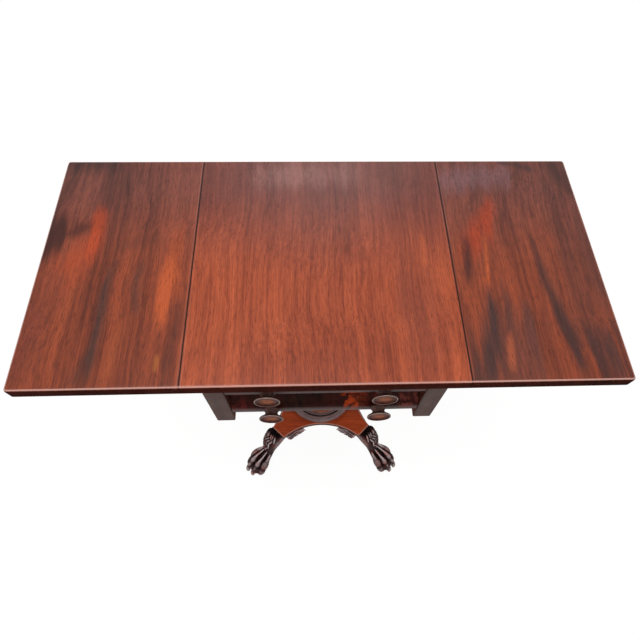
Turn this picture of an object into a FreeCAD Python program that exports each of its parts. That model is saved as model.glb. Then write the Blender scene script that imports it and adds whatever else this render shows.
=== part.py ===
import FreeCAD, Part
import math
import os

os.makedirs("parts", exist_ok=True)

Vector = FreeCAD.Vector
UP = Vector(0, 0, 1)
DOWN = Vector(0, 0, -1)
ACROSS = Vector(1, 0, 0)
BACKWARD = Vector(0, 1, 0)

# Frame: millimetres, +Z up, the floor is Z = 0, the drawers face -Y and the
# leaves open to -X and +X. The origin is on the floor under the column.

# Whole table
open_length = 906.0
table_depth = 440.0
table_height = 728.0
overrun = 5.0
pick_range = 0.1

# Top, leaves and their rule joint
centre_width = 420.0
top_thickness = 23.0
arris_radius = 5.0
lower_arris_radius = 3.0
leaf_corner_radius = 6.0
joint_step = 4.0
ovolo_radius = 16.0
rule_clearance = 0.4

# Hinges of the leaves
hinge_plate_width = 34.0
hinge_plate_thickness = 2.0
hinge_fixed_reach = 34.0
hinge_leaf_reach = 62.0
hinge_barrel_radius = 3.0
hinge_pin_radius = 1.3
hinge_pin_clearance = 0.05
hinge_gap = 0.4
hinge_knuckles = 3
hinge_place_share = 0.3
gain_clearance = 0.2

# Wood screws, their round as a few flats
screw_sides = 8
screw_shank_radius = 2.0
screw_head_radius = 3.8
screw_head_height = 2.0
screw_clearance = 0.05
hinge_screw_length = 14.0
top_screw_length = 20.0
block_screw_length = 27.0

# Case
seam_overhang = 19.0
end_overhang = 15.0
post_width = 32.0
post_depth = 32.0
post_chamfer = 1.5
rail_setback = 21.0
rail_depth = 32.0
top_rail_height = 10.0
divider_height = 14.0
bottom_rail_height = 9.0
tenon_length = 15.0
rail_tenon_thickness = 6.0
lining_thickness = 12.0
tongue_length = 4.0
tongue_thickness = 5.0
panel_thickness = 18.0
panel_setback = 2.0
back_thickness = 12.0
back_setback = 6.0
runner_width = 26.0
stop_height = 12.0
stop_width = 24.0
stop_length = 20.0

# Drawers
drawer_height = 69.0
drawer_gap = 1.0
drawer_lift = 0.3
bulge_depth = 19.0
front_thickness = 21.0
drawer_side_thickness = 10.0
drawer_side_height = 60.0
drawer_back_thickness = 9.0
drawer_bottom_thickness = 6.0
drawer_bottom_rise = 6.0
groove_depth = 4.0
tail_length = 9.0
tail_count = 3
tail_root_share = 0.45
tail_flare_share = 0.16

# Knobs
knob_spacing = 183.0
knob_radius = 20.5
knob_stem_radius = 10.5
knob_projection = 17.0
knob_rim = 3.0
knob_rim_chamfer = 1.5
knob_under_rise = 3.0
knob_seat_depth = 2.2
knob_tenon_radius = 6.0
knob_tenon_length = 16.0

# Swinging brackets
bracket_height = 59.0
bracket_thickness = 17.5
bracket_tip_height = 24.0
bracket_tip_gap = 9.0
bracket_pivot_offset = 14.0
bracket_fingers = 3
finger_gap = 0.3
knuckle_clearance = 0.4
bracket_head_gap = 0.5
bracket_pin_radius = 2.5
bracket_pin_clearance = 0.05
bracket_tip_radius = 9.0
bracket_swell_share = 0.17

# Column and its mouldings
block_width = 200.0
block_height = 24.0
block_chamfer = 7.0
block_screw_share = 0.33
column_tenon_radius = 22.0
column_top_tenon_radius = 18.0
column_top_tenon_length = 18.0
column_fit = 0.1
ring_radius = 89.0
ring_height = 14.0
ring_groove_radius = 74.0
ring_groove_width = 3.0
ring_groove_depth = 5.0
ring_inset = 2.0
ring_shoulder = 4.0
bell_radius = 62.0
bell_foot_height = 5.0
bell_rise = 22.0
collar_radius = 32.0
collar_height = 8.0
neck_radius = 26.0
neck_length = 5.0
vase_radius = 43.0
taper_radius = 24.0
capital_radius = 56.0
capital_height = 6.0
capital_rise = 20.0
wedge_width = 30.0
wedge_thickness = 4.0
wedge_depth = 20.0
wedge_tip_share = 0.33

# Platform
platform_top_height = 126.0
platform_board = 14.0
platform_core_height = 24.0
platform_waist = 91.0
platform_side_radius = 152.0
platform_corner_reach = 157.7
platform_core_inset = 8.0
platform_arris = 2.0

# Legs, in the upright plane through each corner of the platform. The falls
# are how many degrees the leg's way slopes down at each place. The sways and
# the paw's turn about its heel are away from the front and back middle.
leg_sides = 12
leg_neck_half_width = 20.5
leg_neck_half_depth = 15.0
leg_neck_reach = 143.0
knee_half_width = 21.5
knee_half_depth = 18.5
knee_reach = 177.5
knee_height = 86.0
knee_fall = 60.0
knee_sway = 2.3
ankle_half_width = 18.0
ankle_half_depth = 14.0
ankle_reach = 192.5
ankle_height = 56.0
ankle_fall = 66.0
ankle_sway = 1.3
heel_half_width = 21.5
heel_half_depth = 15.5
heel_reach = 207.0
heel_height = 34.0
heel_fall = 48.0
paw_half_width = 28.0
paw_half_depth = 17.0
paw_reach = 235.0
paw_fall = 14.0
paw_front_fall = 5.0
paw_front_share = 0.8
paw_turn = 7.5
sole_cut = 1.2

# Toes: the rings of each are a share of its length, a rise in toe radii and
# a radius in toe radii
toe_sides = 8
toe_radius = 9.5
toe_length = 46.0
toe_root_height = 36.0
claw_reach = 273.5
inner_toe_spread = 9.3
outer_toe_spread = 24.0
outer_toe_back = 14.0
toe_root_share = 0.72
toe_ring_shares = [
    (0.0, 0.0, 0.7),
    (0.32, 0.3, 0.98),
    (0.5, 0.34, 0.76),
    (0.7, 0.6, 0.98),
    (0.86, 0.5, 0.68),
    (0.97, 0.15, 0.25),
]

# Loose tenons that hold the legs to the platform
leg_tenon_length = 30.0
leg_tenon_width = 14.0
leg_tenon_height = 12.0

# Carved leaves beside each leg
carving_length = 54.0
carving_drop = 20.0
carving_lobes = 3
carving_stand = 2.5
carving_start = 9.0
carving_root_share = 0.62

# Heights and places that follow from the sizes above
half_length = open_length / 2
half_depth = table_depth / 2
seam = centre_width / 2
underside = table_height - top_thickness
hinge_height = table_height - joint_step - ovolo_radius
case_half_width = seam - seam_overhang
case_half_depth = half_depth - end_overhang
opening_half_width = case_half_width - post_width
post_inner_face = case_half_depth - post_depth
rail_front = -case_half_depth + rail_setback
rail_back = rail_front + rail_depth
back_panel_inner = case_half_depth - back_setback - back_thickness
drawer_rear = back_panel_inner - stop_length
drawer_pitch = drawer_height + 2 * drawer_gap + divider_height
lower_drawer_top = underside - top_rail_height - drawer_gap - drawer_pitch
lower_drawer_floor = lower_drawer_top - drawer_height
bottom_rail_top = lower_drawer_floor - drawer_gap
case_bottom = bottom_rail_top - bottom_rail_height
divider_top = bottom_rail_top + drawer_pitch
divider_bottom = divider_top - divider_height
top_rail_bottom = underside - top_rail_height
platform_under = platform_top_height - platform_board
core_under = platform_under - platform_core_height
panel_face = case_half_width - panel_setback
panel_back = panel_face - panel_thickness
bracket_top = underside - bracket_head_gap
bracket_reach = post_inner_face + bracket_pivot_offset - bracket_tip_gap
side_panel_top = bracket_top - bracket_height - bracket_head_gap


def box(low_x, high_x, low_y, high_y, low_z, high_z):
    size = (high_x - low_x, high_y - low_y, high_z - low_z)
    return Part.makeBox(size[0], size[1], size[2], Vector(low_x, low_y, low_z))


def rod(radius, start, direction, length):
    return Part.makeCylinder(radius, length, start, direction)


def prism(points, direction):
    """A flat closed outline of straight lines, drawn out along a vector."""
    wire = Part.makePolygon(points + [points[0]])
    return Part.Face(wire).extrude(direction)


def turned(edges):
    """A half outline in the XZ plane, turned about the Z axis."""
    face = Part.Face(Part.Wire(edges))
    return face.revolve(Vector(0, 0, 0), UP, 360)


def line(a, b):
    return Part.LineSegment(a, b).toShape()


def outline_edges(points):
    """Straight edges round a closed outline."""
    return [line(a, b) for a, b in zip(points, points[1:] + points[:1])]


def arc(a, middle, b):
    return Part.Arc(a, middle, b).toShape()


def mirrored(shape):
    """The same piece on the other side, left for right."""
    return shape.mirror(Vector(0, 0, 0), ACROSS)


def merged(shapes):
    body = shapes[0]
    if len(shapes) > 1:
        body = body.fuse(shapes[1:])
    return body.removeSplitter()


def export(name, pieces):
    """Write one node. A list becomes a group of separate solids."""
    shape = Part.Compound(pieces) if isinstance(pieces, list) else pieces
    shape.exportStep(os.path.join("parts", name + ".step"))


def ring_of_points(sides, centre, sideways, depthwise, half_width, half_depth):
    """Points round an oval."""
    points = []
    for index in range(sides):
        angle = 2 * math.pi * index / sides
        wide = sideways * (half_width * math.cos(angle))
        points.append(centre + wide + depthwise * (half_depth * math.sin(angle)))
    return points


def faceted(rings):
    """A solid of flat facets through rings that all have as many points."""
    facets = [rings[0], rings[-1]]
    for low, high in zip(rings, rings[1:]):
        for index in range(len(low)):
            after = (index + 1) % len(low)
            facets.append([low[index], low[after], high[after]])
            facets.append([low[index], high[after], high[index]])
    faces = [Part.Face(Part.makePolygon(points + points[:1])) for points in facets]
    shell = Part.Shell(faces)
    shell.sewShape()
    return Part.Solid(shell)


def screw(point, direction, length, clearance=0):
    """A countersunk screw whose head lies flush at the given point."""
    neck = screw_head_height + clearance
    levels = [
        (0, screw_head_radius + clearance),
        (neck, screw_shank_radius + clearance),
        (length + clearance, screw_shank_radius + clearance),
    ]
    rings = [
        ring_of_points(screw_sides, point + direction * depth, ACROSS, BACKWARD, radius, radius)
        for depth, radius in levels
    ]
    return faceted(rings).removeSplitter()


def edges_where(shape, test):
    return [edge for edge in shape.Edges if test(edge)]


def runs_along(edge, axis):
    ends = edge.Vertexes
    if len(ends) < 2:
        return False
    step = ends[1].Point - ends[0].Point
    return step.Length > overrun and step.cross(axis).Length < pick_range


def edge_level(edge):
    return edge.CenterOfMass.z


# Top board and leaves


def rounded_ends(board, reach_test):
    """Round the top and lower arrises of a board where the test says so."""

    def picked(shape, level):
        return edges_where(
            shape, lambda e: abs(edge_level(e) - level) < pick_range and reach_test(e)
        )

    board = board.makeFillet(arris_radius, picked(board, table_height))
    return board.makeFillet(lower_arris_radius, picked(board, underside))


def ovolo_foot():
    """How far the round of the joint reaches past the pin at the underside."""
    drop = hinge_height - underside
    return math.sqrt(ovolo_radius**2 - drop**2)


def top_centre_board():
    shoulder = hinge_height + ovolo_radius
    reach = seam + ovolo_foot()
    diagonal = ovolo_radius * math.sqrt(0.5)

    def at(x, z):
        return Vector(x, -half_depth, z)

    edges = [
        line(at(-seam, table_height), at(seam, table_height)),
        line(at(seam, table_height), at(seam, shoulder)),
        arc(at(seam, shoulder), at(seam + diagonal, hinge_height + diagonal), at(reach, underside)),
        line(at(reach, underside), at(-reach, underside)),
        arc(
            at(-reach, underside),
            at(-seam - diagonal, hinge_height + diagonal),
            at(-seam, shoulder),
        ),
        line(at(-seam, shoulder), at(-seam, table_height)),
    ]
    board = Part.Face(Part.Wire(edges)).extrude(BACKWARD * table_depth)
    return rounded_ends(board, lambda e: runs_along(e, ACROSS))


def leaf_board():
    """The right leaf: a cove under its lip turns about the hinge pins."""
    cove = ovolo_radius + rule_clearance
    drop = hinge_height - underside
    foot = seam + math.sqrt(cove**2 - drop**2)
    lip = seam + rule_clearance
    lip_under = hinge_height + math.sqrt(cove**2 - rule_clearance**2)
    diagonal = cove * math.sqrt(0.5)

    def at(x, z):
        return Vector(x, -half_depth, z)

    edges = [
        line(at(lip, table_height), at(half_length, table_height)),
        line(at(half_length, table_height), at(half_length, underside)),
        line(at(half_length, underside), at(foot, underside)),
        arc(
            at(foot, underside),
            at(seam + diagonal, hinge_height + diagonal),
            at(lip, lip_under),
        ),
        line(at(lip, lip_under), at(lip, table_height)),
    ]
    board = Part.Face(Part.Wire(edges)).extrude(BACKWARD * table_depth)
    upright = edges_where(
        board, lambda e: runs_along(e, UP) and e.CenterOfMass.x > half_length - overrun
    )
    board = board.makeFillet(leaf_corner_radius, upright)

    def outer(edge):
        inside = abs(edge.CenterOfMass.x - lip) < overrun
        at_foot = abs(edge.CenterOfMass.x - foot) < overrun
        return not inside and not at_foot

    return rounded_ends(board, outer)


# Hinges of the right side; the left ones are their mirror images


def hinge_places():
    place = hinge_place_share * table_depth
    return [-place, place]


def knuckle_span(index, middle):
    """Lowest and highest Y of one knuckle of the hinge at this place."""
    pitch = hinge_plate_width / hinge_knuckles
    low = middle - hinge_plate_width / 2 + index * pitch
    return low + hinge_gap / 2, low + pitch - hinge_gap / 2


def hinge_half(middle, side):
    """Side -1 is the plate under the fixed top, +1 the plate under the leaf."""
    reach = hinge_fixed_reach if side < 0 else hinge_leaf_reach
    half = hinge_plate_width / 2
    start = hinge_barrel_radius + hinge_gap
    ends = sorted([seam + side * start, seam + side * reach])
    top = underside + hinge_plate_thickness
    pieces = [box(ends[0], ends[1], middle - half, middle + half, underside, top)]
    first = 0 if side < 0 else 1
    for index in range(first, hinge_knuckles, 2):
        low, high = knuckle_span(index, middle)
        barrel = rod(hinge_barrel_radius, Vector(seam, low, hinge_height), BACKWARD, high - low)
        ends = sorted([seam, seam + side * start])
        pieces += [barrel, box(ends[0], ends[1], low, high, underside, top)]
    hole_radius = hinge_pin_radius + hinge_pin_clearance
    hole_start = Vector(seam, middle - half - overrun, hinge_height)
    holes = [rod(hole_radius, hole_start, BACKWARD, hinge_plate_width + 2 * overrun)]
    for point in hinge_screw_points(middle, side):
        holes.append(screw(point, UP, hinge_screw_length, screw_clearance))
    return merged(pieces).cut(holes)


def hinge_screw_points(middle, side):
    inset = hinge_plate_width / 4
    if side < 0:
        across = seam - hinge_fixed_reach + inset
        places = [(across, middle - inset), (across, middle + inset)]
    else:
        far = seam + hinge_leaf_reach - inset
        near = (seam + ovolo_radius + far) / 2
        places = [(near, middle), (far, middle)]
    return [Vector(x, y, underside) for x, y in places]


def hinge_screws(side):
    points = [p for middle in hinge_places() for p in hinge_screw_points(middle, side)]
    return [screw(p, UP, hinge_screw_length) for p in points]


def hinge_pins():
    half = hinge_plate_width / 2
    return [
        rod(hinge_pin_radius, Vector(seam, m - half, hinge_height), BACKWARD, hinge_plate_width)
        for m in hinge_places()
    ]


def hinge_gain(middle):
    """Wood taken out of the fixed top: both plates' beds and the barrel's trough."""
    half = hinge_plate_width / 2 + gain_clearance
    low_z = underside - overrun
    plate_top = underside + hinge_plate_thickness + gain_clearance
    low_x = seam - hinge_fixed_reach - gain_clearance
    high_x = seam + ovolo_radius + overrun
    plates = box(low_x, high_x, middle - half, middle + half, low_z, plate_top)
    room = hinge_barrel_radius + hinge_gap
    trough = box(
        seam - room, seam + room, middle - half, middle + half, low_z, hinge_height + room
    )
    return plates.fuse(trough)


def leaf_gain(middle):
    half = hinge_plate_width / 2 + gain_clearance
    top = underside + hinge_plate_thickness + gain_clearance
    high_x = seam + hinge_leaf_reach + gain_clearance
    return box(seam, high_x, middle - half, middle + half, underside - overrun, top)


def make_top():
    board = top_centre_board()
    leaf = leaf_board()
    gains = [hinge_gain(m) for m in hinge_places()]
    leaf_gains = [leaf_gain(m) for m in hinge_places()]
    fixed_screws = hinge_screws(-1)
    leaf_screws = hinge_screws(1)
    fixed_holes = [
        screw(p, UP, hinge_screw_length, screw_clearance)
        for m in hinge_places()
        for p in hinge_screw_points(m, -1)
    ]
    leaf_holes = [
        screw(p, UP, hinge_screw_length, screw_clearance)
        for m in hinge_places()
        for p in hinge_screw_points(m, 1)
    ]
    right_cuts = gains + fixed_holes
    board = board.cut(right_cuts + [mirrored(c) for c in right_cuts] + top_screws(screw_clearance))
    leaf = leaf.cut(leaf_gains + leaf_holes)
    export("top_centre", board)
    export("leaf_right", leaf)
    export("leaf_left", mirrored(leaf))
    fixed_plates = [hinge_half(m, -1) for m in hinge_places()]
    leaf_plates = [hinge_half(m, 1) for m in hinge_places()]
    pins = hinge_pins()
    export("hinge_fixed_plates", fixed_plates + [mirrored(p) for p in fixed_plates])
    export("hinge_pins", pins + [mirrored(p) for p in pins])
    export("hinge_fixed_screws", fixed_screws + [mirrored(s) for s in fixed_screws])
    export("hinge_leaf_plates_right", leaf_plates)
    export("hinge_leaf_plates_left", [mirrored(p) for p in leaf_plates])
    export("hinge_leaf_screws_right", leaf_screws)
    export("hinge_leaf_screws_left", [mirrored(s) for s in leaf_screws])


# Case


def top_screws(clearance=0):
    """Screws up through the kickers into the top."""
    across = opening_half_width - runner_width / 2
    along = post_inner_face / 2
    points = [Vector(sx * across, sy * along, top_rail_bottom) for sx in (-1, 1) for sy in (-1, 1)]
    return [screw(p, UP, top_screw_length, clearance) for p in points]


def rail(low_z, high_z):
    """A front rail with a barefaced tenon at each end, flush with its face."""
    body = box(-opening_half_width, opening_half_width, rail_front, rail_back, low_z, high_z)
    reach = opening_half_width + tenon_length
    tenon_back = rail_front + rail_tenon_thickness
    return merged([body, box(-reach, reach, rail_front, tenon_back, low_z, high_z)])


def front_rails():
    return {
        "top_rail": rail(top_rail_bottom, underside),
        "drawer_divider": rail(divider_bottom, divider_top),
        "bottom_rail": rail(case_bottom, bottom_rail_top),
    }


def lining():
    """The inner board of the right side, tongued into the posts."""
    outer = opening_half_width + lining_thickness
    board = box(
        opening_half_width, outer, -post_inner_face, post_inner_face, case_bottom, underside
    )
    middle = (opening_half_width + outer) / 2
    reach = post_inner_face + tongue_length
    half = tongue_thickness / 2
    return merged([board, box(middle - half, middle + half, -reach, reach, case_bottom, underside)])


def back_panel():
    outer = case_half_depth - back_setback
    inner = back_panel_inner
    board = box(-opening_half_width, opening_half_width, inner, outer, case_bottom, underside)
    middle = (inner + outer) / 2
    half = tongue_thickness / 2
    reach = opening_half_width + tongue_length
    return merged([board, box(-reach, reach, middle - half, middle + half, case_bottom, underside)])


def side_panel():
    """The outer board of the right side, below the swinging bracket."""
    return box(
        panel_back, panel_face, -post_inner_face, post_inner_face, case_bottom, side_panel_top
    )


def post(front):
    """The right post at the front or the back, its outward arrises eased."""
    face = -case_half_depth if front else case_half_depth
    inner = -post_inner_face if front else post_inner_face
    low_y, high_y = sorted([face, inner])
    body = box(opening_half_width, case_half_width, low_y, high_y, case_bottom, underside)
    outer = edges_where(
        body, lambda e: runs_along(e, UP) and abs(e.CenterOfMass.y - face) < pick_range
    )
    return body.makeChamfer(post_chamfer, outer)


def runner(low_z, high_z):
    """A strip along the right lining, from the front rail to the back panel."""
    inner = opening_half_width - runner_width
    return box(inner, opening_half_width, rail_back, back_panel_inner, low_z, high_z)


def bottom_board():
    board = box(
        -opening_half_width,
        opening_half_width,
        rail_back,
        back_panel_inner,
        case_bottom,
        bottom_rail_top,
    )
    return board.cut(block_screws(screw_clearance))


def drawer_stops():
    """Blocks behind each drawer that end its travel inwards."""
    stops = []
    for level in (bottom_rail_top, divider_top):
        for side in (-1, 1):
            ends = sorted([side * (opening_half_width - stop_width), side * opening_half_width])
            top = level + stop_height
            stops.append(box(ends[0], ends[1], drawer_rear, back_panel_inner, level, top))
    return stops


def make_case():
    rails = front_rails()
    side = lining()
    panel = back_panel()
    joints = list(rails.values()) + [side, panel]
    for front in (True, False):
        place = "front" if front else "back"
        right = post(front).cut(joints)
        export("post_%s_right" % place, right)
        export("post_%s_left" % place, mirrored(right))
    for name, shape in rails.items():
        export(name, shape)
    export("back_panel", panel)
    export("side_lining_right", side)
    export("side_lining_left", mirrored(side))
    outer = side_panel()
    export("side_panel_right", outer)
    export("side_panel_left", mirrored(outer))
    kicker = runner(top_rail_bottom, underside)
    kickers = [k.cut(top_screws(screw_clearance)) for k in (kicker, mirrored(kicker))]
    export("kickers", kickers)
    strip = runner(divider_bottom, divider_top)
    export("upper_runners", [strip, mirrored(strip)])
    export("bottom_board", bottom_board())
    export("drawer_stops", drawer_stops())
    export("top_screws", top_screws())


# Swinging brackets of the right side


def pivot():
    return Vector(panel_face - bracket_thickness / 2, bracket_pivot_offset, 0)


def finger_levels(own):
    """Lowest and highest Z of the fingers: own 0 is the fixed block, 1 the bracket."""
    pitch = bracket_height / bracket_fingers
    low = bracket_top - bracket_height
    return [(low + i * pitch, low + (i + 1) * pitch) for i in range(own, bracket_fingers, 2)]


def knuckle_room(own, shape):
    """Clear the other piece's fingers and bore the pin's hole."""
    centre = pivot()
    radius = bracket_thickness / 2 + knuckle_clearance
    for low, high in finger_levels(1 - own):
        start = Vector(centre.x, centre.y, low - finger_gap / 2)
        shape = shape.cut(rod(radius, start, UP, high - low + finger_gap))
    hole_start = Vector(centre.x, centre.y, case_bottom)
    hole_radius = bracket_pin_radius + bracket_pin_clearance
    return shape.cut(rod(hole_radius, hole_start, UP, table_height - case_bottom))


def shoulder_bevel(direction):
    """The outer corner cut away on the slant, so that the bracket opens square."""
    centre = pivot()
    radius = bracket_thickness / 2
    far = radius + overrun
    near_x = centre.x + far
    base = Vector(0, 0, side_panel_top)
    points = [
        base + Vector(centre.x, centre.y - direction * far, 0),
        base + Vector(centre.x, centre.y + direction * knuckle_clearance, 0),
        base + Vector(near_x, centre.y + direction * (far + knuckle_clearance), 0),
        base + Vector(near_x, centre.y - direction * far, 0),
    ]
    height = underside - side_panel_top
    return prism(points, UP * height).cut(rod(radius, pivot() + base, UP, height))


def fixed_block():
    """The still half of the wooden knuckle, glued to the lining."""
    centre = pivot()
    radius = bracket_thickness / 2
    low = bracket_top - bracket_height
    barrel = rod(radius, Vector(centre.x, centre.y, low), UP, bracket_height)
    near = centre.y + radius + knuckle_clearance
    root = box(centre.x - radius, panel_face, centre.y, near, low, bracket_top)
    body = box(panel_back, panel_face, near, post_inner_face, low, underside)
    shape = merged([barrel, root, body]).cut(shoulder_bevel(1))
    return knuckle_room(0, shape)


def bracket():
    """The swinging arm, its lower edge cut to a double curve."""
    centre = pivot()
    radius = bracket_thickness / 2
    inner = centre.x - radius
    low = bracket_top - bracket_height
    tip = centre.y - bracket_reach
    tip_low = bracket_top - bracket_tip_height
    nose = tip + bracket_tip_radius
    nose_inset = bracket_tip_radius * (1 - math.sqrt(0.5))
    root = centre.y - bracket_thickness
    bend_y = (root + tip) / 2
    bend_z = (low + tip_low) / 2
    swell = (tip_low - low) * bracket_swell_share

    def at(y, z):
        return Vector(inner, y, z)

    edges = [
        line(at(centre.y, bracket_top), at(tip, bracket_top)),
        line(at(tip, bracket_top), at(tip, tip_low + bracket_tip_radius)),
        arc(
            at(tip, tip_low + bracket_tip_radius),
            at(tip + nose_inset, tip_low + nose_inset),
            at(nose, tip_low),
        ),
        arc(
            at(nose, tip_low),
            at((nose + bend_y) / 2, (tip_low + bend_z) / 2 + swell),
            at(bend_y, bend_z),
        ),
        arc(
            at(bend_y, bend_z),
            at((bend_y + root) / 2, (bend_z + low) / 2 - swell),
            at(root, low),
        ),
        line(at(root, low), at(centre.y, low)),
        line(at(centre.y, low), at(centre.y, bracket_top)),
    ]
    arm = Part.Face(Part.Wire(edges)).extrude(ACROSS * bracket_thickness)
    barrel = rod(radius, Vector(centre.x, centre.y, low), UP, bracket_height)
    shape = merged([arm, barrel]).cut(shoulder_bevel(-1))
    return knuckle_room(1, shape)


def bracket_pin():
    centre = pivot()
    start = Vector(centre.x, centre.y, bracket_top - bracket_height)
    return rod(bracket_pin_radius, start, UP, bracket_height)


def make_brackets():
    block = fixed_block()
    arm = bracket()
    pin = bracket_pin()
    export("bracket_block_right", block)
    export("bracket_block_left", mirrored(block))
    export("fly_bracket_right", arm)
    export("fly_bracket_left", mirrored(arm))
    export("bracket_pins", [pin, mirrored(pin)])


# Drawers


def drawer_front(floor_z):
    """A front that swells in one arc from edge to edge."""
    edge_y = rail_front
    bulge_y = edge_y - bulge_depth
    back_y = edge_y + front_thickness
    top_z = floor_z + drawer_height
    half = opening_half_width - drawer_gap

    def at(y, z):
        return Vector(-half, y, z)

    edges = [
        line(at(back_y, top_z), at(back_y, floor_z)),
        line(at(back_y, floor_z), at(edge_y, floor_z)),
        arc(at(edge_y, floor_z), at(bulge_y, floor_z + drawer_height / 2), at(edge_y, top_z)),
        line(at(edge_y, top_z), at(back_y, top_z)),
    ]
    return Part.Face(Part.Wire(edges)).extrude(ACROSS * (2 * half))


def tails(start_y, direction, low_z, inner_x, outer_x):
    """Dovetails that run from a drawer side into the board at its end."""
    pitch = drawer_side_height / tail_count
    root = pitch * tail_root_share / 2
    flare = pitch * (tail_root_share / 2 + tail_flare_share)
    end_y = start_y + direction * tail_length
    shapes = []
    for index in range(tail_count):
        middle = low_z + (index + 0.5) * pitch
        points = [
            Vector(inner_x, start_y, middle - root),
            Vector(inner_x, end_y, middle - flare),
            Vector(inner_x, end_y, middle + flare),
            Vector(inner_x, start_y, middle + root),
        ]
        shapes.append(prism(points, ACROSS * (outer_x - inner_x)))
    return shapes


def knob(x, z):
    """A turned mushroom knob whose stem and tenon go into the drawer front."""
    rim_low = knob_projection - knob_rim
    face_radius = knob_radius - knob_rim_chamfer
    outline = [
        (0, -knob_tenon_length),
        (knob_tenon_radius, -knob_tenon_length),
        (knob_tenon_radius, -knob_seat_depth),
        (knob_stem_radius, -knob_seat_depth),
        (knob_stem_radius, rim_low - knob_under_rise),
        (knob_radius, rim_low),
        (knob_radius, knob_projection - knob_rim_chamfer),
        (face_radius, knob_projection),
        (0, knob_projection),
    ]
    shape = turned(outline_edges([Vector(radius, 0, reach) for radius, reach in outline]))
    shape.rotate(Vector(0, 0, 0), ACROSS, 90)
    shape.translate(Vector(x, rail_front - bulge_depth, z))
    return shape


def knob_socket(x, z):
    """The hole for a knob's tenon and the shallow seat of its stem."""
    start = Vector(x, rail_front - bulge_depth - overrun, z)
    tenon = rod(knob_tenon_radius, start, BACKWARD, knob_tenon_length + overrun)
    seat = rod(knob_stem_radius, start, BACKWARD, knob_seat_depth + overrun)
    return tenon.fuse(seat)


def make_drawer(name, floor_z):
    side_low = floor_z - drawer_gap + drawer_lift
    side_high = side_low + drawer_side_height
    half = opening_half_width - drawer_gap
    inner = half - drawer_side_thickness
    front_back = rail_front + front_thickness
    back_front = drawer_rear - drawer_back_thickness
    side = box(inner, half, front_back, back_front, side_low, side_high)
    front_tails = tails(front_back, -1, side_low, inner, half)
    back_tails = tails(back_front, 1, side_low, inner, half)
    side = merged([side] + front_tails + back_tails)
    bottom_low = side_low + drawer_bottom_rise
    bottom_high = bottom_low + drawer_bottom_thickness
    bottom = box(
        -inner - groove_depth,
        inner + groove_depth,
        front_back - groove_depth,
        back_front,
        bottom_low,
        bottom_high,
    )
    side = side.cut(bottom)
    left = mirrored(side)
    back = box(-half, half, back_front, drawer_rear, side_low, side_high).cut([side, left])
    knob_z = floor_z + drawer_height / 2
    places = [-knob_spacing / 2, knob_spacing / 2]
    front = drawer_front(floor_z).cut([side, left, bottom])
    front = front.cut([knob_socket(x, knob_z) for x in places])
    export(name + "_front", front)
    export(name + "_side_right", side)
    export(name + "_side_left", left)
    export(name + "_back", back)
    export(name + "_bottom", bottom)
    export(name + "_knobs", [knob(x, knob_z) for x in places])


# Column, its block and the platform


def block_screws(clearance=0):
    """Screws down through the bottom board into the block on the column."""
    place = block_width * block_screw_share
    points = [Vector(sx * place, sy * place, bottom_rail_top) for sx in (-1, 1) for sy in (-1, 1)]
    return [screw(p, DOWN, block_screw_length, clearance) for p in points]


def column_block():
    """The square block that joins the column to the case, its lower edge bevelled."""
    half = block_width / 2
    low = case_bottom - block_height
    block = box(-half, half, -half, half, low, case_bottom)
    under = edges_where(block, lambda e: abs(edge_level(e) - low) < pick_range)
    block = block.makeChamfer(block_chamfer, under)
    socket_radius = column_top_tenon_radius + column_fit
    socket = rod(socket_radius, Vector(0, 0, low), UP, column_top_tenon_length + column_fit)
    return block.cut([socket] + block_screws(screw_clearance))


def column():
    """A turned column: a bell foot, a bulb with a long taper between collars, a head."""
    foot = platform_top_height + ring_height
    head = case_bottom - block_height
    tenon_top = head + column_top_tenon_length
    bell_low = foot + bell_foot_height
    lower_collar = bell_low + bell_rise
    bulb_low = lower_collar + collar_height + neck_length
    bulb = vase_radius - neck_radius
    bulb_full = bulb_low + bulb
    capital_low = head - capital_height
    upper_collar = capital_low - capital_rise - collar_height

    def at(radius, z):
        return Vector(radius, 0, z)

    below_bulb = [
        at(0, core_under),
        at(column_tenon_radius, core_under),
        at(column_tenon_radius, foot),
        at(bell_radius, foot),
        at(bell_radius, bell_low),
        at(collar_radius, lower_collar),
        at(collar_radius, lower_collar + collar_height),
        at(neck_radius, lower_collar + collar_height),
        at(neck_radius, bulb_low),
    ]
    above_bulb = [
        at(vase_radius, bulb_full),
        at(taper_radius, upper_collar),
        at(collar_radius, upper_collar),
        at(collar_radius, upper_collar + collar_height),
        at(capital_radius, capital_low),
        at(capital_radius, head),
        at(column_top_tenon_radius, head),
        at(column_top_tenon_radius, tenon_top),
        at(0, tenon_top),
        at(0, core_under),
    ]
    halfway = bulb * math.sqrt(0.5)
    swell = arc(at(neck_radius, bulb_low), at(neck_radius + halfway, bulb_full - halfway), above_bulb[0])
    edges = [line(a, b) for a, b in zip(below_bulb, below_bulb[1:])] + [swell]
    edges += [line(a, b) for a, b in zip(above_bulb, above_bulb[1:])]
    return turned(edges).cut(column_wedge())


def column_wedge():
    """The wedge that spreads the column's tenon from below."""
    half = wedge_width / 2
    thick = wedge_thickness / 2
    tip = thick * wedge_tip_share
    points = [
        Vector(-half, -thick, core_under),
        Vector(-half, thick, core_under),
        Vector(-half, tip, core_under + wedge_depth),
        Vector(-half, -tip, core_under + wedge_depth),
    ]
    return prism(points, ACROSS * wedge_width)


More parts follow.
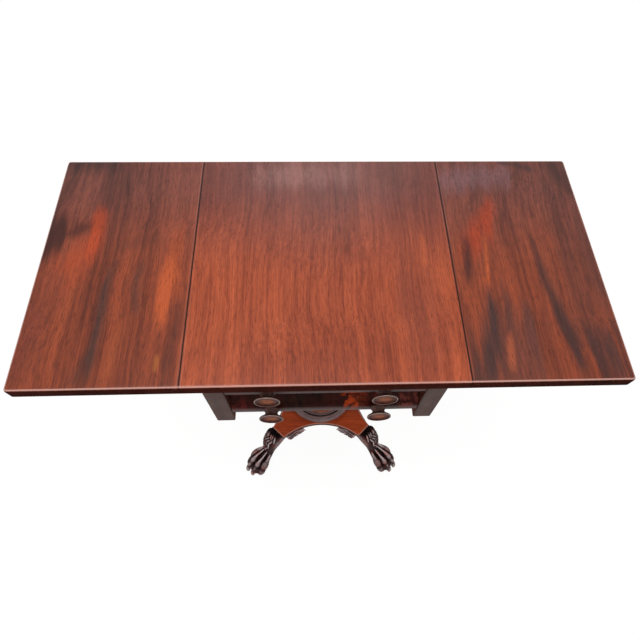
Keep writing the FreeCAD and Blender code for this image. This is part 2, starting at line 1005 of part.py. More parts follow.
def base_ring():
    """The turned collar on the platform: a wide rim, a groove and an inner flat."""
    low = platform_top_height
    high = low + ring_height
    groove_outer = ring_groove_radius + ring_groove_width / 2
    groove_inner = ring_groove_radius - ring_groove_width / 2
    groove_floor = high - ring_groove_depth
    bore = column_tenon_radius + column_fit
    outline = [
        (bore, low),
        (ring_radius - ring_inset, low),
        (ring_radius, low + ring_inset),
        (ring_radius, high - ring_shoulder),
        (ring_radius - ring_shoulder, high),
        (groove_outer, high),
        (groove_outer, groove_floor),
        (groove_inner, groove_floor),
        (groove_inner, high),
        (bore, high),
    ]
    return turned(outline_edges([Vector(radius, 0, z) for radius, z in outline]))


def platform_corner(inset):
    """Where a hollow side meets a cut corner, at the front right, as X and Y."""
    centre = platform_waist + platform_side_radius
    radius = platform_side_radius + inset
    reach = math.sqrt(2) * (platform_corner_reach - inset)
    gap = centre - reach
    x = (math.sqrt(2 * radius**2 - gap**2) - gap) / 2
    return x, x - reach


def platform_plate(inset, low, height):
    """A square with hollow sides and cut corners, drawn in by the inset."""
    x, y = platform_corner(inset)
    waist = platform_waist - inset
    edges = []
    for quarter in range(4):
        side = [
            arc(Vector(-x, y, low), Vector(0, -waist, low), Vector(x, y, low)),
            line(Vector(x, y, low), Vector(-y, -x, low)),
        ]
        for edge in side:
            edge.rotate(Vector(0, 0, 0), UP, 90 * quarter)
        edges += side
    wire = Part.Wire(Part.__sortEdges__(edges))
    return Part.Face(wire).extrude(UP * height)


def platform_board_shape():
    plate = platform_plate(0, platform_under, platform_board)
    rim = edges_where(plate, lambda e: abs(edge_level(e) - platform_top_height) < pick_range)
    bore = column_tenon_radius + column_fit
    return plate.makeChamfer(platform_arris, rim).cut(
        rod(bore, Vector(0, 0, platform_under), UP, platform_board)
    )


def platform_core_shape():
    core = platform_plate(platform_core_inset, core_under, platform_core_height)
    bore = column_tenon_radius + column_fit
    tenons = [leg_tenon(side, end) for name, side, end in corners()]
    return core.cut([rod(bore, Vector(0, 0, core_under), UP, platform_core_height)] + tenons)


# Legs


def at_corner(shape, side, end):
    """From the plane of X and Z to a corner: side 1 is right, end -1 the front."""
    placed = shape.copy()
    placed.rotate(Vector(0, 0, 0), UP, -45)
    return facing(placed, side, end)


def facing(shape, side, end):
    """The front right piece, set for another corner by mirroring."""
    placed = shape.copy()
    if side < 0:
        placed = mirrored(placed)
    if end > 0:
        placed = placed.mirror(Vector(0, 0, 0), BACKWARD)
    return placed


def corners():
    """Each corner's name with its side and end."""
    names = {1: "right", -1: "left"}
    ends = {-1: "front", 1: "back"}
    return [(ends[end] + "_" + names[side], side, end) for end in (-1, 1) for side in (1, -1)]


def leg_tenon(side, end):
    """A loose tenon, half in the platform's core and half in the leg."""
    joint = platform_corner_reach - platform_core_inset
    half = leg_tenon_length / 2
    middle = (platform_under + core_under) / 2
    tenon = box(
        joint - half,
        joint + half,
        -leg_tenon_width / 2,
        leg_tenon_width / 2,
        middle - leg_tenon_height / 2,
        middle + leg_tenon_height / 2,
    )
    return at_corner(tenon, side, end)


def leg_ring(sides, centre, way, half_width, half_depth):
    """A ring round an oval, square to the way that a leg or toe takes."""
    sideways = BACKWARD if way.cross(UP).Length < pick_range else UP.cross(way).normalize()
    depthwise = way.cross(sideways).normalize()
    return ring_of_points(sides, centre, sideways, depthwise, half_width, half_depth)


def falling(degrees):
    """A direction outwards that falls by so many degrees."""
    angle = math.radians(degrees)
    return Vector(math.cos(angle), 0, -math.sin(angle))


def turned_out(vector):
    """A direction of the paw, turned outwards with it."""
    angle = math.radians(paw_turn)
    along = vector.x * math.cos(angle) - vector.y * math.sin(angle)
    across = vector.x * math.sin(angle) + vector.y * math.cos(angle)
    return Vector(along, across, vector.z)


def on_paw(point):
    """A point of the straight paw, turned outwards about its heel."""
    heel = Vector(heel_reach, 0, 0)
    return heel + turned_out(point - heel)


def leg_trunk():
    """Knee, ankle and paw, roughed out in flats before the carving."""
    paw_height = paw_half_depth - sole_cut
    front_reach = paw_reach + 2 * toe_radius
    front_half_depth = paw_half_depth * paw_front_share
    front = Vector(front_reach, 0, front_half_depth - sole_cut)
    neck = Vector(leg_neck_reach, 0, platform_under + overrun)
    knee = Vector(knee_reach, knee_sway, knee_height)
    ankle = Vector(ankle_reach, ankle_sway, ankle_height)
    heel = Vector(heel_reach, ankle_sway, heel_height)
    paw = Vector(paw_reach, 0, paw_height)
    rings = [
        (neck, DOWN, leg_neck_half_width, leg_neck_half_depth),
        (knee, falling(knee_fall), knee_half_width, knee_half_depth),
        (ankle, falling(ankle_fall), ankle_half_width, ankle_half_depth),
        (heel, falling(heel_fall), heel_half_width, heel_half_depth),
        (on_paw(paw), turned_out(falling(paw_fall)), paw_half_width, paw_half_depth),
        (
            on_paw(front),
            turned_out(falling(paw_front_fall)),
            paw_half_width * paw_front_share,
            front_half_depth,
        ),
    ]
    return faceted(
        [
            leg_ring(leg_sides, centre, way, half_width, half_depth)
            for centre, way, half_width, half_depth in rings
        ]
    )


def toe(spread, back):
    """One toe: two knuckles and a claw that bends down to the floor."""
    reach = claw_reach - back
    root = Vector(reach - toe_length, spread * toe_root_share, toe_root_height)
    places = []
    for share, rise_share, radius_share in toe_ring_shares:
        at = Vector(
            root.x + share * toe_length,
            root.y + share * (spread - root.y),
            root.z * (1 - share) + rise_share * toe_radius,
        )
        places.append((on_paw(at), radius_share * toe_radius))
    rings = []
    for index, (at, radius) in enumerate(places):
        before = places[max(index - 1, 0)][0]
        after = places[min(index + 1, len(places) - 1)][0]
        rings.append(leg_ring(toe_sides, at, (after - before).normalize(), radius, radius))
    return faceted(rings)


def leg():
    """One leg in the plane of X and Z, cut level at the floor and the platform."""
    toes = [
        toe(side * spread, back)
        for spread, back in ((inner_toe_spread, 0), (outer_toe_spread, outer_toe_back))
        for side in (-1, 1)
    ]
    shape = leg_trunk().fuse(toes)
    reach = claw_reach + overrun
    half = paw_half_width + 3 * toe_radius
    corner = platform_corner_reach - platform_core_inset
    room = box(0, reach, -half, half, 0, platform_under)
    core = box(0, corner, -half, half, core_under, platform_under)
    return shape.common(room).cut(core)


def carving_band():
    """The space under the board's rim, outside the core, where carving sits."""
    outer = platform_plate(-carving_stand, platform_under - carving_drop, carving_drop)
    inner = platform_plate(platform_core_inset, platform_under - carving_drop, carving_drop)
    return outer.cut(inner)


def carving_blank():
    """A leaf of falling lobes beside the front right leg, drawn on the front side."""
    start = platform_corner(0)[0] - carving_start
    lobe = carving_length / carving_lobes

    def at(along, drop):
        return Vector(start - along, -platform_corner_reach, platform_under - drop)

    drops = [carving_drop * (1 - index / carving_lobes) for index in range(carving_lobes + 1)]
    edges = [line(at(0, 0), at(0, drops[0] * carving_root_share))]
    for index in range(carving_lobes):
        low = at(index * lobe, drops[index] * carving_root_share)
        high = at((index + 1) * lobe, drops[index + 1] * carving_root_share)
        belly = at((index + 0.5) * lobe, drops[index])
        edges.append(arc(low, belly, high))
    edges.append(line(at(carving_length, 0), at(0, 0)))
    deep = platform_corner_reach - platform_waist + platform_core_inset
    return Part.Face(Part.Wire(edges)).extrude(BACKWARD * deep)


def carvings(leg_shape):
    """The pair of carved leaves that flanks the front right leg."""
    front = carving_blank().common(carving_band()).cut(leg_shape)
    return [front, front.mirror(Vector(0, 0, 0), Vector(1, 1, 0))]


def make_base():
    export("column", column())
    export("column_wedge", column_wedge())
    export("column_base_ring", base_ring())
    export("column_block", column_block())
    export("block_screws", block_screws())
    export("platform_board", platform_board_shape())
    export("platform_core", platform_core_shape())
    blank = leg()
    leaves = carvings(at_corner(blank, 1, -1))
    for name, side, end in corners():
        export("leg_" + name, at_corner(blank, side, end).cut(leg_tenon(side, end)))
        export("leg_carving_" + name, [facing(leaf, side, end) for leaf in leaves])
    export("leg_tenons", [leg_tenon(side, end) for name, side, end in corners()])


make_top()
make_case()
make_brackets()
make_drawer("drawer_upper", lower_drawer_floor + drawer_pitch)
make_drawer("drawer_lower", lower_drawer_floor)
make_base()
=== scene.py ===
import math

import bmesh
import bpy
import numpy as np
from mathutils import Matrix, Vector


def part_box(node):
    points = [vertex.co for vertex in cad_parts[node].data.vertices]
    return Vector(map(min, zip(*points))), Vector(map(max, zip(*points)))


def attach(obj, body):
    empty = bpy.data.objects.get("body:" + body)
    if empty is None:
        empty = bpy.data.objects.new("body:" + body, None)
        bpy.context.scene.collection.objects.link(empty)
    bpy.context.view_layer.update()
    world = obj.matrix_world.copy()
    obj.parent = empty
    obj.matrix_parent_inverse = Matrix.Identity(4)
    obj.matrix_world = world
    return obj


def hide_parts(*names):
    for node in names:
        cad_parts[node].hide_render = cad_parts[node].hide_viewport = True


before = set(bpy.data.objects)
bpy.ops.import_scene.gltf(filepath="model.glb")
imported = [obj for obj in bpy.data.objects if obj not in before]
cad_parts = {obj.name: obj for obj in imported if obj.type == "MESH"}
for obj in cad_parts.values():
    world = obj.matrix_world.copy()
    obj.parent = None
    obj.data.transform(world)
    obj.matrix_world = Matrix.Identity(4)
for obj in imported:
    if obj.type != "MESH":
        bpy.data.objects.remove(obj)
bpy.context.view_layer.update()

# Sizes and places of the solids, in metres
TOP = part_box("top_centre")[1].z
PLATFORM_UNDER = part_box("platform_board")[0].z
DRAWER_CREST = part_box("drawer_lower_front")[0].y
KNOB_RADIUS = 0.0205
KNOB_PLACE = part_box("drawer_lower_knobs")[1].x - KNOB_RADIUS
# The line where a leaf meets the fixed top, to the left and right of the middle
SEAM = 0.210
# The platform's hollow sides, in millimetres: nearest the middle, and the hollow's radius
PLATFORM_WAIST = 91.0
PLATFORM_SIDE_RADIUS = 152.0

# The camera, fitted to the photo's corners, seams, posts, knobs and feet
CAMERA_PLACE = Vector((-0.02152, -0.47517, 1.38206))
CAMERA_PITCH = 62.92
CAMERA_YAW = 4.76
CAMERA_ROLL = 3.36
CAMERA_NEAR = 0.01
CAMERA_FAR = 50
# The focal length and the middle of the lens, in the photo's pixels
CAMERA_FOCUS = 491.63
PHOTO_WIDTH = 640
PHOTO_MIDDLE_COLUMN = 329.99
PHOTO_MIDDLE_ROW = 336.69
SENSOR = 36.0

# The studio
STUDIO_TINT = (1.0, 0.99, 0.98, 1.0)
STUDIO_LEVEL = 0.38
WHITE = (1.0, 1.0, 1.0, 1.0)
BLACK = (0.0, 0.0, 0.0, 1.0)
FLOOR_TINT = (0.6, 0.6, 0.6, 1.0)
FLOOR_GLOW = 1.17
FLOOR_GLOW_SHARE = 0.8
FLOOR_REACH = 12.0
FLOOR_LEVEL = -0.0005
# Lamps: name, place, target, width and power
LAMPS = (
    ("overhead", (-0.2, -0.3, 3.0), (0, 0, 0.6), 1.8, 34),
    ("behind", (0.1, 2.7, 3.0), (0, 0.2, 0.7), 1.5, 12),
)


def camera_axes():
    """Forward, right and up of the camera, in the table's frame."""
    pitch = math.radians(CAMERA_PITCH)
    yaw = math.radians(CAMERA_YAW)
    roll = math.radians(CAMERA_ROLL)
    forward = Vector(
        (math.sin(yaw) * math.cos(pitch), math.cos(yaw) * math.cos(pitch), -math.sin(pitch))
    )
    level = Vector((math.cos(yaw), -math.sin(yaw), 0))
    above = level.cross(forward)
    right = level * math.cos(roll) + above * math.sin(roll)
    up = above * math.cos(roll) - level * math.sin(roll)
    return forward, right, up


def on_top(column, row):
    """The point of the table's top face that the photo shows at this pixel."""
    forward, right, up = camera_axes()
    across = (column - PHOTO_MIDDLE_COLUMN) / CAMERA_FOCUS
    down = (row - PHOTO_MIDDLE_ROW) / CAMERA_FOCUS
    ray = forward + right * across - up * down
    return CAMERA_PLACE + ray * ((TOP - CAMERA_PLACE.z) / ray.z)


def add_object(name, data):
    made = bpy.data.objects.new(name, data)
    bpy.context.collection.objects.link(made)
    return made


def make_camera():
    forward, right, up = camera_axes()
    data = bpy.data.cameras.new("camera")
    data.sensor_fit = "HORIZONTAL"
    data.sensor_width = SENSOR
    data.lens = SENSOR * CAMERA_FOCUS / PHOTO_WIDTH
    data.shift_x = (PHOTO_WIDTH / 2 - PHOTO_MIDDLE_COLUMN) / PHOTO_WIDTH
    data.shift_y = (PHOTO_MIDDLE_ROW - PHOTO_WIDTH / 2) / PHOTO_WIDTH
    data.clip_start = CAMERA_NEAR
    data.clip_end = CAMERA_FAR
    camera = add_object("camera", data)
    turn = Matrix((right, up, -forward)).transposed().to_4x4()
    camera.matrix_world = Matrix.Translation(CAMERA_PLACE) @ turn
    bpy.context.scene.camera = camera


def shade(red, green, blue):
    """A colour read as screen values from 0 to 255, made linear."""
    linear = []
    for value in (red, green, blue):
        part = value / 255
        linear.append(part / 12.92 if part <= 0.04045 else ((part + 0.055) / 1.055) ** 2.4)
    return (*linear, 1.0)


def darker(colour, share):
    return (*(part * share for part in colour[:3]), 1.0)


class Tree:
    """Builds the nodes of a world or a material."""

    def __init__(self, owner):
        owner.use_nodes = True
        self.owner = owner
        self.nodes = owner.node_tree.nodes
        self.links = owner.node_tree.links
        self.nodes.clear()

    def node(self, kind, inputs=None, **settings):
        """A node with its inputs linked where they are sockets and set where they are values."""
        made = self.nodes.new(kind)
        for key, value in settings.items():
            setattr(made, key, value)
        for key, value in (inputs or {}).items():
            if isinstance(value, bpy.types.NodeSocket):
                self.links.new(value, made.inputs[key])
            else:
                made.inputs[key].default_value = value
        return made

    def math(self, operation, first, second=0.0, clamp=False):
        inputs = {0: first, 1: second}
        return self.node("ShaderNodeMath", inputs, operation=operation, use_clamp=clamp).outputs[0]

    def times(self, first, second):
        return self.math("MULTIPLY", first, second)

    def plus(self, first, second):
        return self.math("ADD", first, second)

    def blended(self, factor, first, second):
        """A mix of two shaders."""
        inputs = {0: factor, 1: first.outputs[0], 2: second.outputs[0]}
        return self.node("ShaderNodeMixShader", inputs)

    def end(self, kind, shader):
        output = self.node(kind)
        self.links.new(shader.outputs[0], output.inputs["Surface"])
        return self.owner


class MaterialTree(Tree):
    """Builds one material's nodes, over the piece's own coordinates."""

    def __init__(self, name):
        super().__init__(bpy.data.materials.new(name))
        coordinates = self.node("ShaderNodeTexCoord")
        self.place = coordinates.outputs["Object"]
        self.normal = coordinates.outputs["Normal"]

    def part(self, vector, axis):
        """One of a vector's parts, by its axis."""
        return self.node("ShaderNodeSeparateXYZ", {0: vector}).outputs["xyz".index(axis)]

    def scaled(self, vector, scale):
        return self.node("ShaderNodeMapping", {"Vector": vector, "Scale": scale}).outputs[0]

    def along(self, vector, axis, stretch):
        """Coordinates drawn out along the grain's axis, so that noise becomes streaks."""
        return self.scaled(vector, [stretch if letter == axis else 1.0 for letter in "xyz"])

    def noise(self, vector, scale, detail=3.0, rough=0.6, distortion=0.0):
        inputs = {
            "Vector": vector,
            "Scale": scale,
            "Detail": detail,
            "Roughness": rough,
            "Distortion": distortion,
        }
        return self.node("ShaderNodeTexNoise", inputs).outputs["Fac"]

    def ramp(self, factor, low, high, low_value=0.0, high_value=1.0):
        """A smooth step from one value to another while the factor goes from low to high."""
        inputs = {
            "Value": factor,
            "From Min": low,
            "From Max": high,
            "To Min": low_value,
            "To Max": high_value,
        }
        return self.node("ShaderNodeMapRange", inputs, interpolation_type="SMOOTHSTEP").outputs[0]

    def mix(self, factor, first, second):
        """The first colour where the factor is 0 and the second where it is 1."""
        made = self.node("ShaderNodeMix", {0: factor, 6: first, 7: second}, data_type="RGBA")
        return made.outputs[2]

    def facing(self, axis, low, high):
        """1 where the surface faces along an axis, either way, and 0 where it doesn't."""
        return self.ramp(self.math("ABSOLUTE", self.part(self.normal, axis)), low, high)

    def outward(self):
        """The distance from the Z axis."""
        flat = self.scaled(self.place, (1, 1, 0))
        return self.node("ShaderNodeVectorMath", {0: flat}, operation="LENGTH").outputs["Value"]

    def bent(self, amount=0.012):
        """Coordinates that drift, so that the grain runs in long bends."""
        wave = self.noise(self.place, scale=3.2, detail=2.0, rough=0.5)
        drift = self.ramp(wave, 0.2, 0.8, -amount, amount)
        shift = self.node("ShaderNodeCombineXYZ", {0: drift, 1: drift, 2: drift}).outputs[0]
        inputs = {0: self.place, 1: shift}
        return self.node("ShaderNodeVectorMath", inputs, operation="ADD").outputs[0]

    def polish(self, rough, spread=0.14):
        """Gloss that smears over the surface."""
        smear = self.noise(self.place, scale=14.0, detail=4.0)
        return self.ramp(smear, 0.3, 0.7, rough - spread / 2, rough + spread / 2)

    def surface(self, colour, rough, relief, depth, specular, coat=0.0, coat_rough=0.2, metal=0.0):
        """The shader at the end: relief in metres under a lacquered surface over the colour."""
        bump = self.node("ShaderNodeBump", {"Height": relief, "Distance": depth, "Strength": 1.0})
        inputs = {
            "Base Color": colour,
            "Roughness": rough,
            "Normal": bump.outputs[0],
            "Specular IOR Level": specular,
            "Coat Weight": coat,
            "Coat Roughness": coat_rough,
            "Metallic": metal,
        }
        shader = self.node("ShaderNodeBsdfPrincipled", inputs)
        return self.end("ShaderNodeOutputMaterial", shader)


# Shares of broad tone, bands, lines and fibre in wood
GRAIN_SHARES = (0.3, 0.26, 0.24, 0.2)
# The same for the boards of the top, and last of the figure across the grain
BOARD_SHARES = (0.24, 0.24, 0.24, 0.24, 0.04)
# Shares of broad figure, feather and fibre in the drawers' veneer
VENEER_SHARES = (0.45, 0.35, 0.2)


def grain_layers(tree, axis, figure):
    """Broad tone, bands, lines, fibre and pores of straight-grained wood."""
    place = tree.bent()
    broad = tree.noise(tree.along(place, axis, 0.09), scale=figure, rough=0.55)
    bands = tree.noise(tree.along(place, axis, 0.04), scale=figure * 5)
    lines = tree.noise(tree.along(place, axis, 0.012), scale=figure * 22)
    fibre = tree.noise(tree.along(place, axis, 0.012), scale=520.0, rough=0.65)
    pores = tree.noise(tree.along(place, axis, 0.07), scale=900.0, detail=2.0, rough=0.5)
    return place, (broad, bands, lines, fibre), pores


def weighed(tree, layers, shares):
    """The layers' sum, each spread over its range and given its share."""
    total = 0.0
    for layer, share in zip(layers, shares):
        total = tree.plus(tree.ramp(layer, 0.34, 0.66, 0.0, share), total)
    return total


def wood(name, axis, colours, rough=0.36, coat=0.08, arris=None, edge=None):
    """Straight-grained wood; a painted highlight on the arris and a darker edge where they are
    given.
    """
    light, dark = colours
    tree = MaterialTree(name)
    place, layers, pores = grain_layers(tree, axis, figure=9.0)
    tone = weighed(tree, layers, GRAIN_SHARES)
    colour = tree.mix(tone, dark, light)
    holes = tree.ramp(pores, 0.34, 0.46, 0.35, 0.0)
    colour = tree.mix(holes, colour, darker(dark, 0.35))
    if edge is not None:
        upright = tree.facing("z", 0.35, 0.2)
        colour = tree.mix(upright, colour, tree.mix(tone, darker(edge, 0.6), edge))
    if arris is not None:
        # Painted highlight: pale where the surface turns from the face to the edge
        slanted = tree.times(tree.facing("z", 0.97, 0.93), tree.facing("z", 0.2, 0.35))
        colour = tree.mix(tree.times(slanted, 0.75), colour, arris)
    relief = tree.math("SUBTRACT", layers[3], holes)
    rough_now = tree.polish(rough)
    return tree.surface(colour, rough_now, relief, 0.00008, 0.3, coat, coat_rough=rough * 0.6)


def plain_wood(name, axis):
    """Unpolished pale wood, for what is out of sight."""
    return wood(name, axis, PALE_COLOURS, rough=0.6, coat=0.0)


def carved_wood():
    """Polished carving: a painted grey-pink highlight on what stands out, painted black shade in the
    hollows, which are dull.
    """
    tree = MaterialTree("carved")
    raised = tree.node("ShaderNodeAttribute", attribute_name="raised").outputs["Fac"]
    patch = tree.noise(tree.place, scale=55.0, detail=4.0)
    fine = tree.noise(tree.place, scale=420.0)
    level = tree.plus(raised, tree.ramp(fine, 0.3, 0.7, -0.03, 0.03))
    reddish = tree.ramp(patch, 0.44, 0.62, 0.0, 0.85)
    # Painted shade: near black in the hollows
    hollow = shade(18, 8, 8)
    flat = tree.mix(reddish, shade(76, 56, 55), shade(92, 42, 36))
    # Painted highlight: pale grey-pink, in places reddish, on the highest ridges
    high = tree.mix(reddish, shade(226, 204, 206), shade(226, 158, 148))
    colour = tree.mix(tree.ramp(level, 0.3, 0.52), hollow, flat)
    colour = tree.mix(tree.ramp(level, 0.6, 0.86), colour, high)
    rough = tree.ramp(raised, 0.45, 0.9, 0.5, 0.22)
    shine = tree.ramp(raised, 0.45, 0.9, 0.03, 0.6)
    coat = tree.ramp(raised, 0.55, 0.95, 0.0, 0.45)
    return tree.surface(colour, rough, fine, 0.00005, shine, coat)


# Where the colour of the turned pieces changes, from and to: the column's foot, outside which the
# ring has a painted grey sheen, and the radii and heights of the groove round it, which has painted
# shade
FOOT_EDGE = (0.0655, 0.0675)
GROOVE_OUTER_EDGE = (0.080, 0.077)
GROOVE_INNER_EDGE = (0.066, 0.068)
GROOVE_LEVEL = (0.1385, 0.1365)


def turned_wood():
    """The column and its ring: a painted grey sheen on the ring's outer bands, painted shade in its
    groove, and a warm polished middle.
    """
    tree = MaterialTree("turned")
    place, layers, pores = grain_layers(tree, "z", figure=9.0)
    tone = weighed(tree, layers, GRAIN_SHARES)
    warm = tree.mix(tone, shade(112, 54, 32), shade(198, 106, 62))
    ring_sheen = tree.mix(tone, shade(116, 94, 94), shade(170, 144, 146))
    outward = tree.outward()
    colour = tree.mix(tree.ramp(outward, *FOOT_EDGE), warm, ring_sheen)
    height = tree.part(tree.place, "z")
    # Painted shade: near black in the groove
    sunk = tree.times(tree.ramp(height, *GROOVE_LEVEL), tree.ramp(outward, *GROOVE_OUTER_EDGE))
    sunk = tree.times(sunk, tree.ramp(outward, *GROOVE_INNER_EDGE))
    colour = tree.mix(sunk, colour, shade(24, 13, 12))
    return tree.surface(colour, tree.polish(0.3), layers[3], 0.00006, 0.35, coat=0.15)


# Where a knob's colour changes, from and to: radii, and heights over its seat; above the neck level
# the head's underside has painted shade, and the rim has a painted highlight
DISH_EDGE = (0.0170, 0.0040)
NECK_LEVEL = (0.0095, 0.0115)
FACE_EDGE = (0.0190, 0.0182)
FACE_LEVEL = (0.0128, 0.0140)
RIM_EDGE = (0.0182, 0.0190)
RIM_LEVEL = (0.0150, 0.0162)


def knob_wood():
    """A dark stem with painted shade under the head, a dished warm face and a painted pale highlight
    on the rim.
    """
    tree = MaterialTree("knob")
    place, layers, pores = grain_layers(tree, "z", figure=20.0)
    tone = weighed(tree, layers, GRAIN_SHARES)
    outward = tree.outward()
    height = tree.part(tree.place, "z")
    dish = tree.mix(tree.ramp(outward, *DISH_EDGE), shade(104, 46, 34), shade(226, 118, 62))
    mottle = tree.ramp(tree.noise(tree.place, scale=150.0, distortion=0.8), 0.38, 0.6)
    face = tree.mix(tree.times(tone, mottle), tree.mix(0.58, dish, BLACK), dish)
    stem = tree.mix(tone, shade(86, 62, 58), shade(150, 116, 108))
    # Painted shade: the underside of the head darker than the stem
    under = tree.mix(tone, shade(62, 42, 38), shade(104, 76, 70))
    colour = tree.mix(tree.ramp(height, *NECK_LEVEL), stem, under)
    front = tree.mix(tree.ramp(height, *FACE_LEVEL), colour, face)
    colour = tree.mix(tree.ramp(outward, *FACE_EDGE), colour, front)
    # Painted highlight: pale and glossier on the rim
    rim = tree.times(tree.ramp(outward, *RIM_EDGE), tree.ramp(height, *RIM_LEVEL))
    colour = tree.mix(tree.times(rim, 0.8), colour, shade(176, 138, 126))
    shine = tree.ramp(rim, 0.0, 1.0, 0.1, 0.6)
    coat = tree.ramp(rim, 0.0, 1.0, 0.02, 0.3)
    rough = tree.polish(0.26)
    return tree.surface(colour, rough, layers[3], 0.00005, shine, coat, coat_rough=0.15)


# How deep the painted sheen, a pale line on the bow of each drawer front, reaches
CREST_SHEEN_DEPTH = 0.0016
# The veneer's flames: place across the drawer, half width, screen colour and strength
FLAMES = (
    (0.044, 0.015, (222, 84, 34), 0.95),
    (0.064, 0.010, (104, 34, 24), 0.6),
    (0.078, 0.009, (150, 54, 34), 0.6),
    (0.150, 0.034, (158, 76, 66), 0.85),
    (-0.140, 0.030, (118, 42, 38), 0.8),
    (-0.045, 0.014, (74, 44, 28), 0.5),
)
# How far feather, fibre and plume move a flame's edge
FLAME_FEATHER = 0.008
FLAME_FIBRE = 0.003
FLAME_PLUME = 0.011


def crotch_veneer():
    """Near-black figured veneer with an orange tongue of flame where the photo has one, and a
    painted pale sheen along the bow.
    """
    tree = MaterialTree("crotch")
    place = tree.bent(0.02)
    broad = tree.noise(tree.along(place, "z", 0.35), scale=16.0, detail=4.0, distortion=1.2)
    feather = tree.noise(
        tree.along(place, "z", 0.25), scale=70.0, detail=4.0, rough=0.65, distortion=0.8
    )
    fibre = tree.noise(tree.along(place, "z", 0.06), scale=520.0)
    plume = tree.noise(tree.along(place, "x", 0.4), scale=24.0, distortion=0.6)
    tone = weighed(tree, (broad, feather, fibre), VENEER_SHARES)
    colour = tree.mix(tone, shade(24, 9, 8), shade(74, 30, 22))
    wander = tree.part(place, "x")
    wander = tree.plus(wander, tree.ramp(feather, 0.2, 0.8, -FLAME_FEATHER, FLAME_FEATHER))
    wander = tree.plus(wander, tree.ramp(fibre, 0.3, 0.7, -FLAME_FIBRE, FLAME_FIBRE))
    wander = tree.plus(wander, tree.ramp(plume, 0.3, 0.7, -FLAME_PLUME, FLAME_PLUME))
    broken = tree.ramp(feather, 0.4, 0.56, 0.2, 1.0)
    for middle, width, screen, strength in FLAMES:
        tint = shade(*screen)
        off = tree.math("ABSOLUTE", tree.math("SUBTRACT", wander, middle))
        flame = tree.times(tree.ramp(off, width, width * 0.3, 0.0, strength), broken)
        colour = tree.mix(flame, colour, tree.mix(tone, darker(tint, 0.5), tint))
    # A painted sheen, pale and glossier, along the most forward line of the bow
    depth = tree.part(tree.place, "y")
    crest_sheen = tree.ramp(depth, DRAWER_CREST + CREST_SHEEN_DEPTH, DRAWER_CREST)
    colour = tree.mix(tree.times(crest_sheen, 0.66), colour, shade(118, 86, 84))
    shine = tree.ramp(crest_sheen, 0.0, 1.0, 0.06, 0.2)
    coat = tree.ramp(crest_sheen, 0.0, 1.0, 0.0, 0.05)
    return tree.surface(colour, tree.polish(0.3), fibre, 0.00004, shine, coat)


# Colours of the top, light and dark of the grain: at the front and middle, and at the back, where
# they are darker and greyer with painted shade and a painted sheen
CENTRE_COLOURS = (
    (shade(206, 100, 62), shade(110, 42, 26)),
    (shade(142, 76, 64), shade(78, 38, 34)),
)
LEAF_COLOURS = (
    (shade(174, 82, 50), shade(72, 30, 22)),
    (shade(146, 80, 66), shade(58, 28, 26)),
)
# Colours of the case, the platform and the hidden wood, light and dark of the grain
CASE_COLOURS = (shade(112, 66, 50), shade(62, 34, 28))
RAIL_COLOURS = (shade(100, 56, 42), shade(54, 28, 24))
PANEL_COLOURS = (shade(108, 62, 46), shade(60, 32, 26))
BLOCK_COLOURS = (shade(140, 74, 50), shade(78, 38, 28))
PLATFORM_COLOURS = (shade(230, 98, 46), shade(160, 62, 30))
PALE_COLOURS = (shade(206, 166, 116), shade(168, 122, 78))
# A painted highlight on the platform's arris
PLATFORM_ARRIS_HIGHLIGHT = shade(214, 150, 130)
PLATFORM_EDGE = shade(116, 62, 52)
CORE_EDGE = shade(128, 64, 48)

# Where the top grows darker and greyer towards its back with painted shade and sheen, and the lines
# beside a seam, its dark joint and the painted highlight on its lip, from and to
BACK_SHADE_AND_SHEEN_STRETCH = (-0.04, 0.17)
JOINT_LINE = (0.0017, 0.0008)
LIP_HIGHLIGHT_START = (0.0022, 0.0026)
LIP_HIGHLIGHT_END = (0.0040, 0.0032)


def streak(tree, place, first, last, width, strength, ragged=0.4):
    """A soft band between two pixels of the photo, its edges broken along the grain."""
    start = on_top(*first)
    end = on_top(*last)
    middle = (start + end) / 2
    way = end - start
    inputs = {
        "Vector": place,
        "Location": (middle.x, middle.y, TOP),
        "Rotation": (0, 0, math.atan2(way.y, way.x)),
        "Scale": (way.length / 2 + width, width, 1.0),
    }
    mapping = tree.node("ShaderNodeMapping", inputs, vector_type="TEXTURE").outputs[0]
    lengthwise = tree.math("POWER", tree.math("ABSOLUTE", tree.part(mapping, "x")), 4.0)
    sideways = tree.math("POWER", tree.math("ABSOLUTE", tree.part(mapping, "y")), 2.0)
    off = tree.math("SQRT", tree.plus(lengthwise, sideways))
    breaking = tree.noise(tree.along(place, "y", 0.06), scale=60.0)
    edge = tree.ramp(breaking, 0.2, 0.8, 1.0 - ragged, 1.0 + ragged)
    return tree.ramp(tree.math("SUBTRACT", edge, off), 0.0, 1.0, 0.0, strength)


def seam_lines(tree, colour, bands):
    """The dark line of the joint between leaf and top, and a painted highlight on its lip."""
    across = tree.math("ABSOLUTE", tree.part(tree.place, "x"))
    from_seam = tree.math("ABSOLUTE", tree.math("SUBTRACT", across, SEAM))
    joint = tree.ramp(from_seam, *JOINT_LINE, 0.0, 0.92)
    colour = tree.mix(joint, colour, shade(34, 14, 12))
    # Painted highlight: a pale line on the lip beside the joint
    lip = tree.times(tree.ramp(from_seam, *LIP_HIGHLIGHT_START), tree.ramp(from_seam, *LIP_HIGHLIGHT_END))
    lip = tree.times(lip, tree.ramp(bands, 0.4, 0.6, 0.0, 0.3))
    return tree.mix(lip, colour, shade(184, 122, 108))


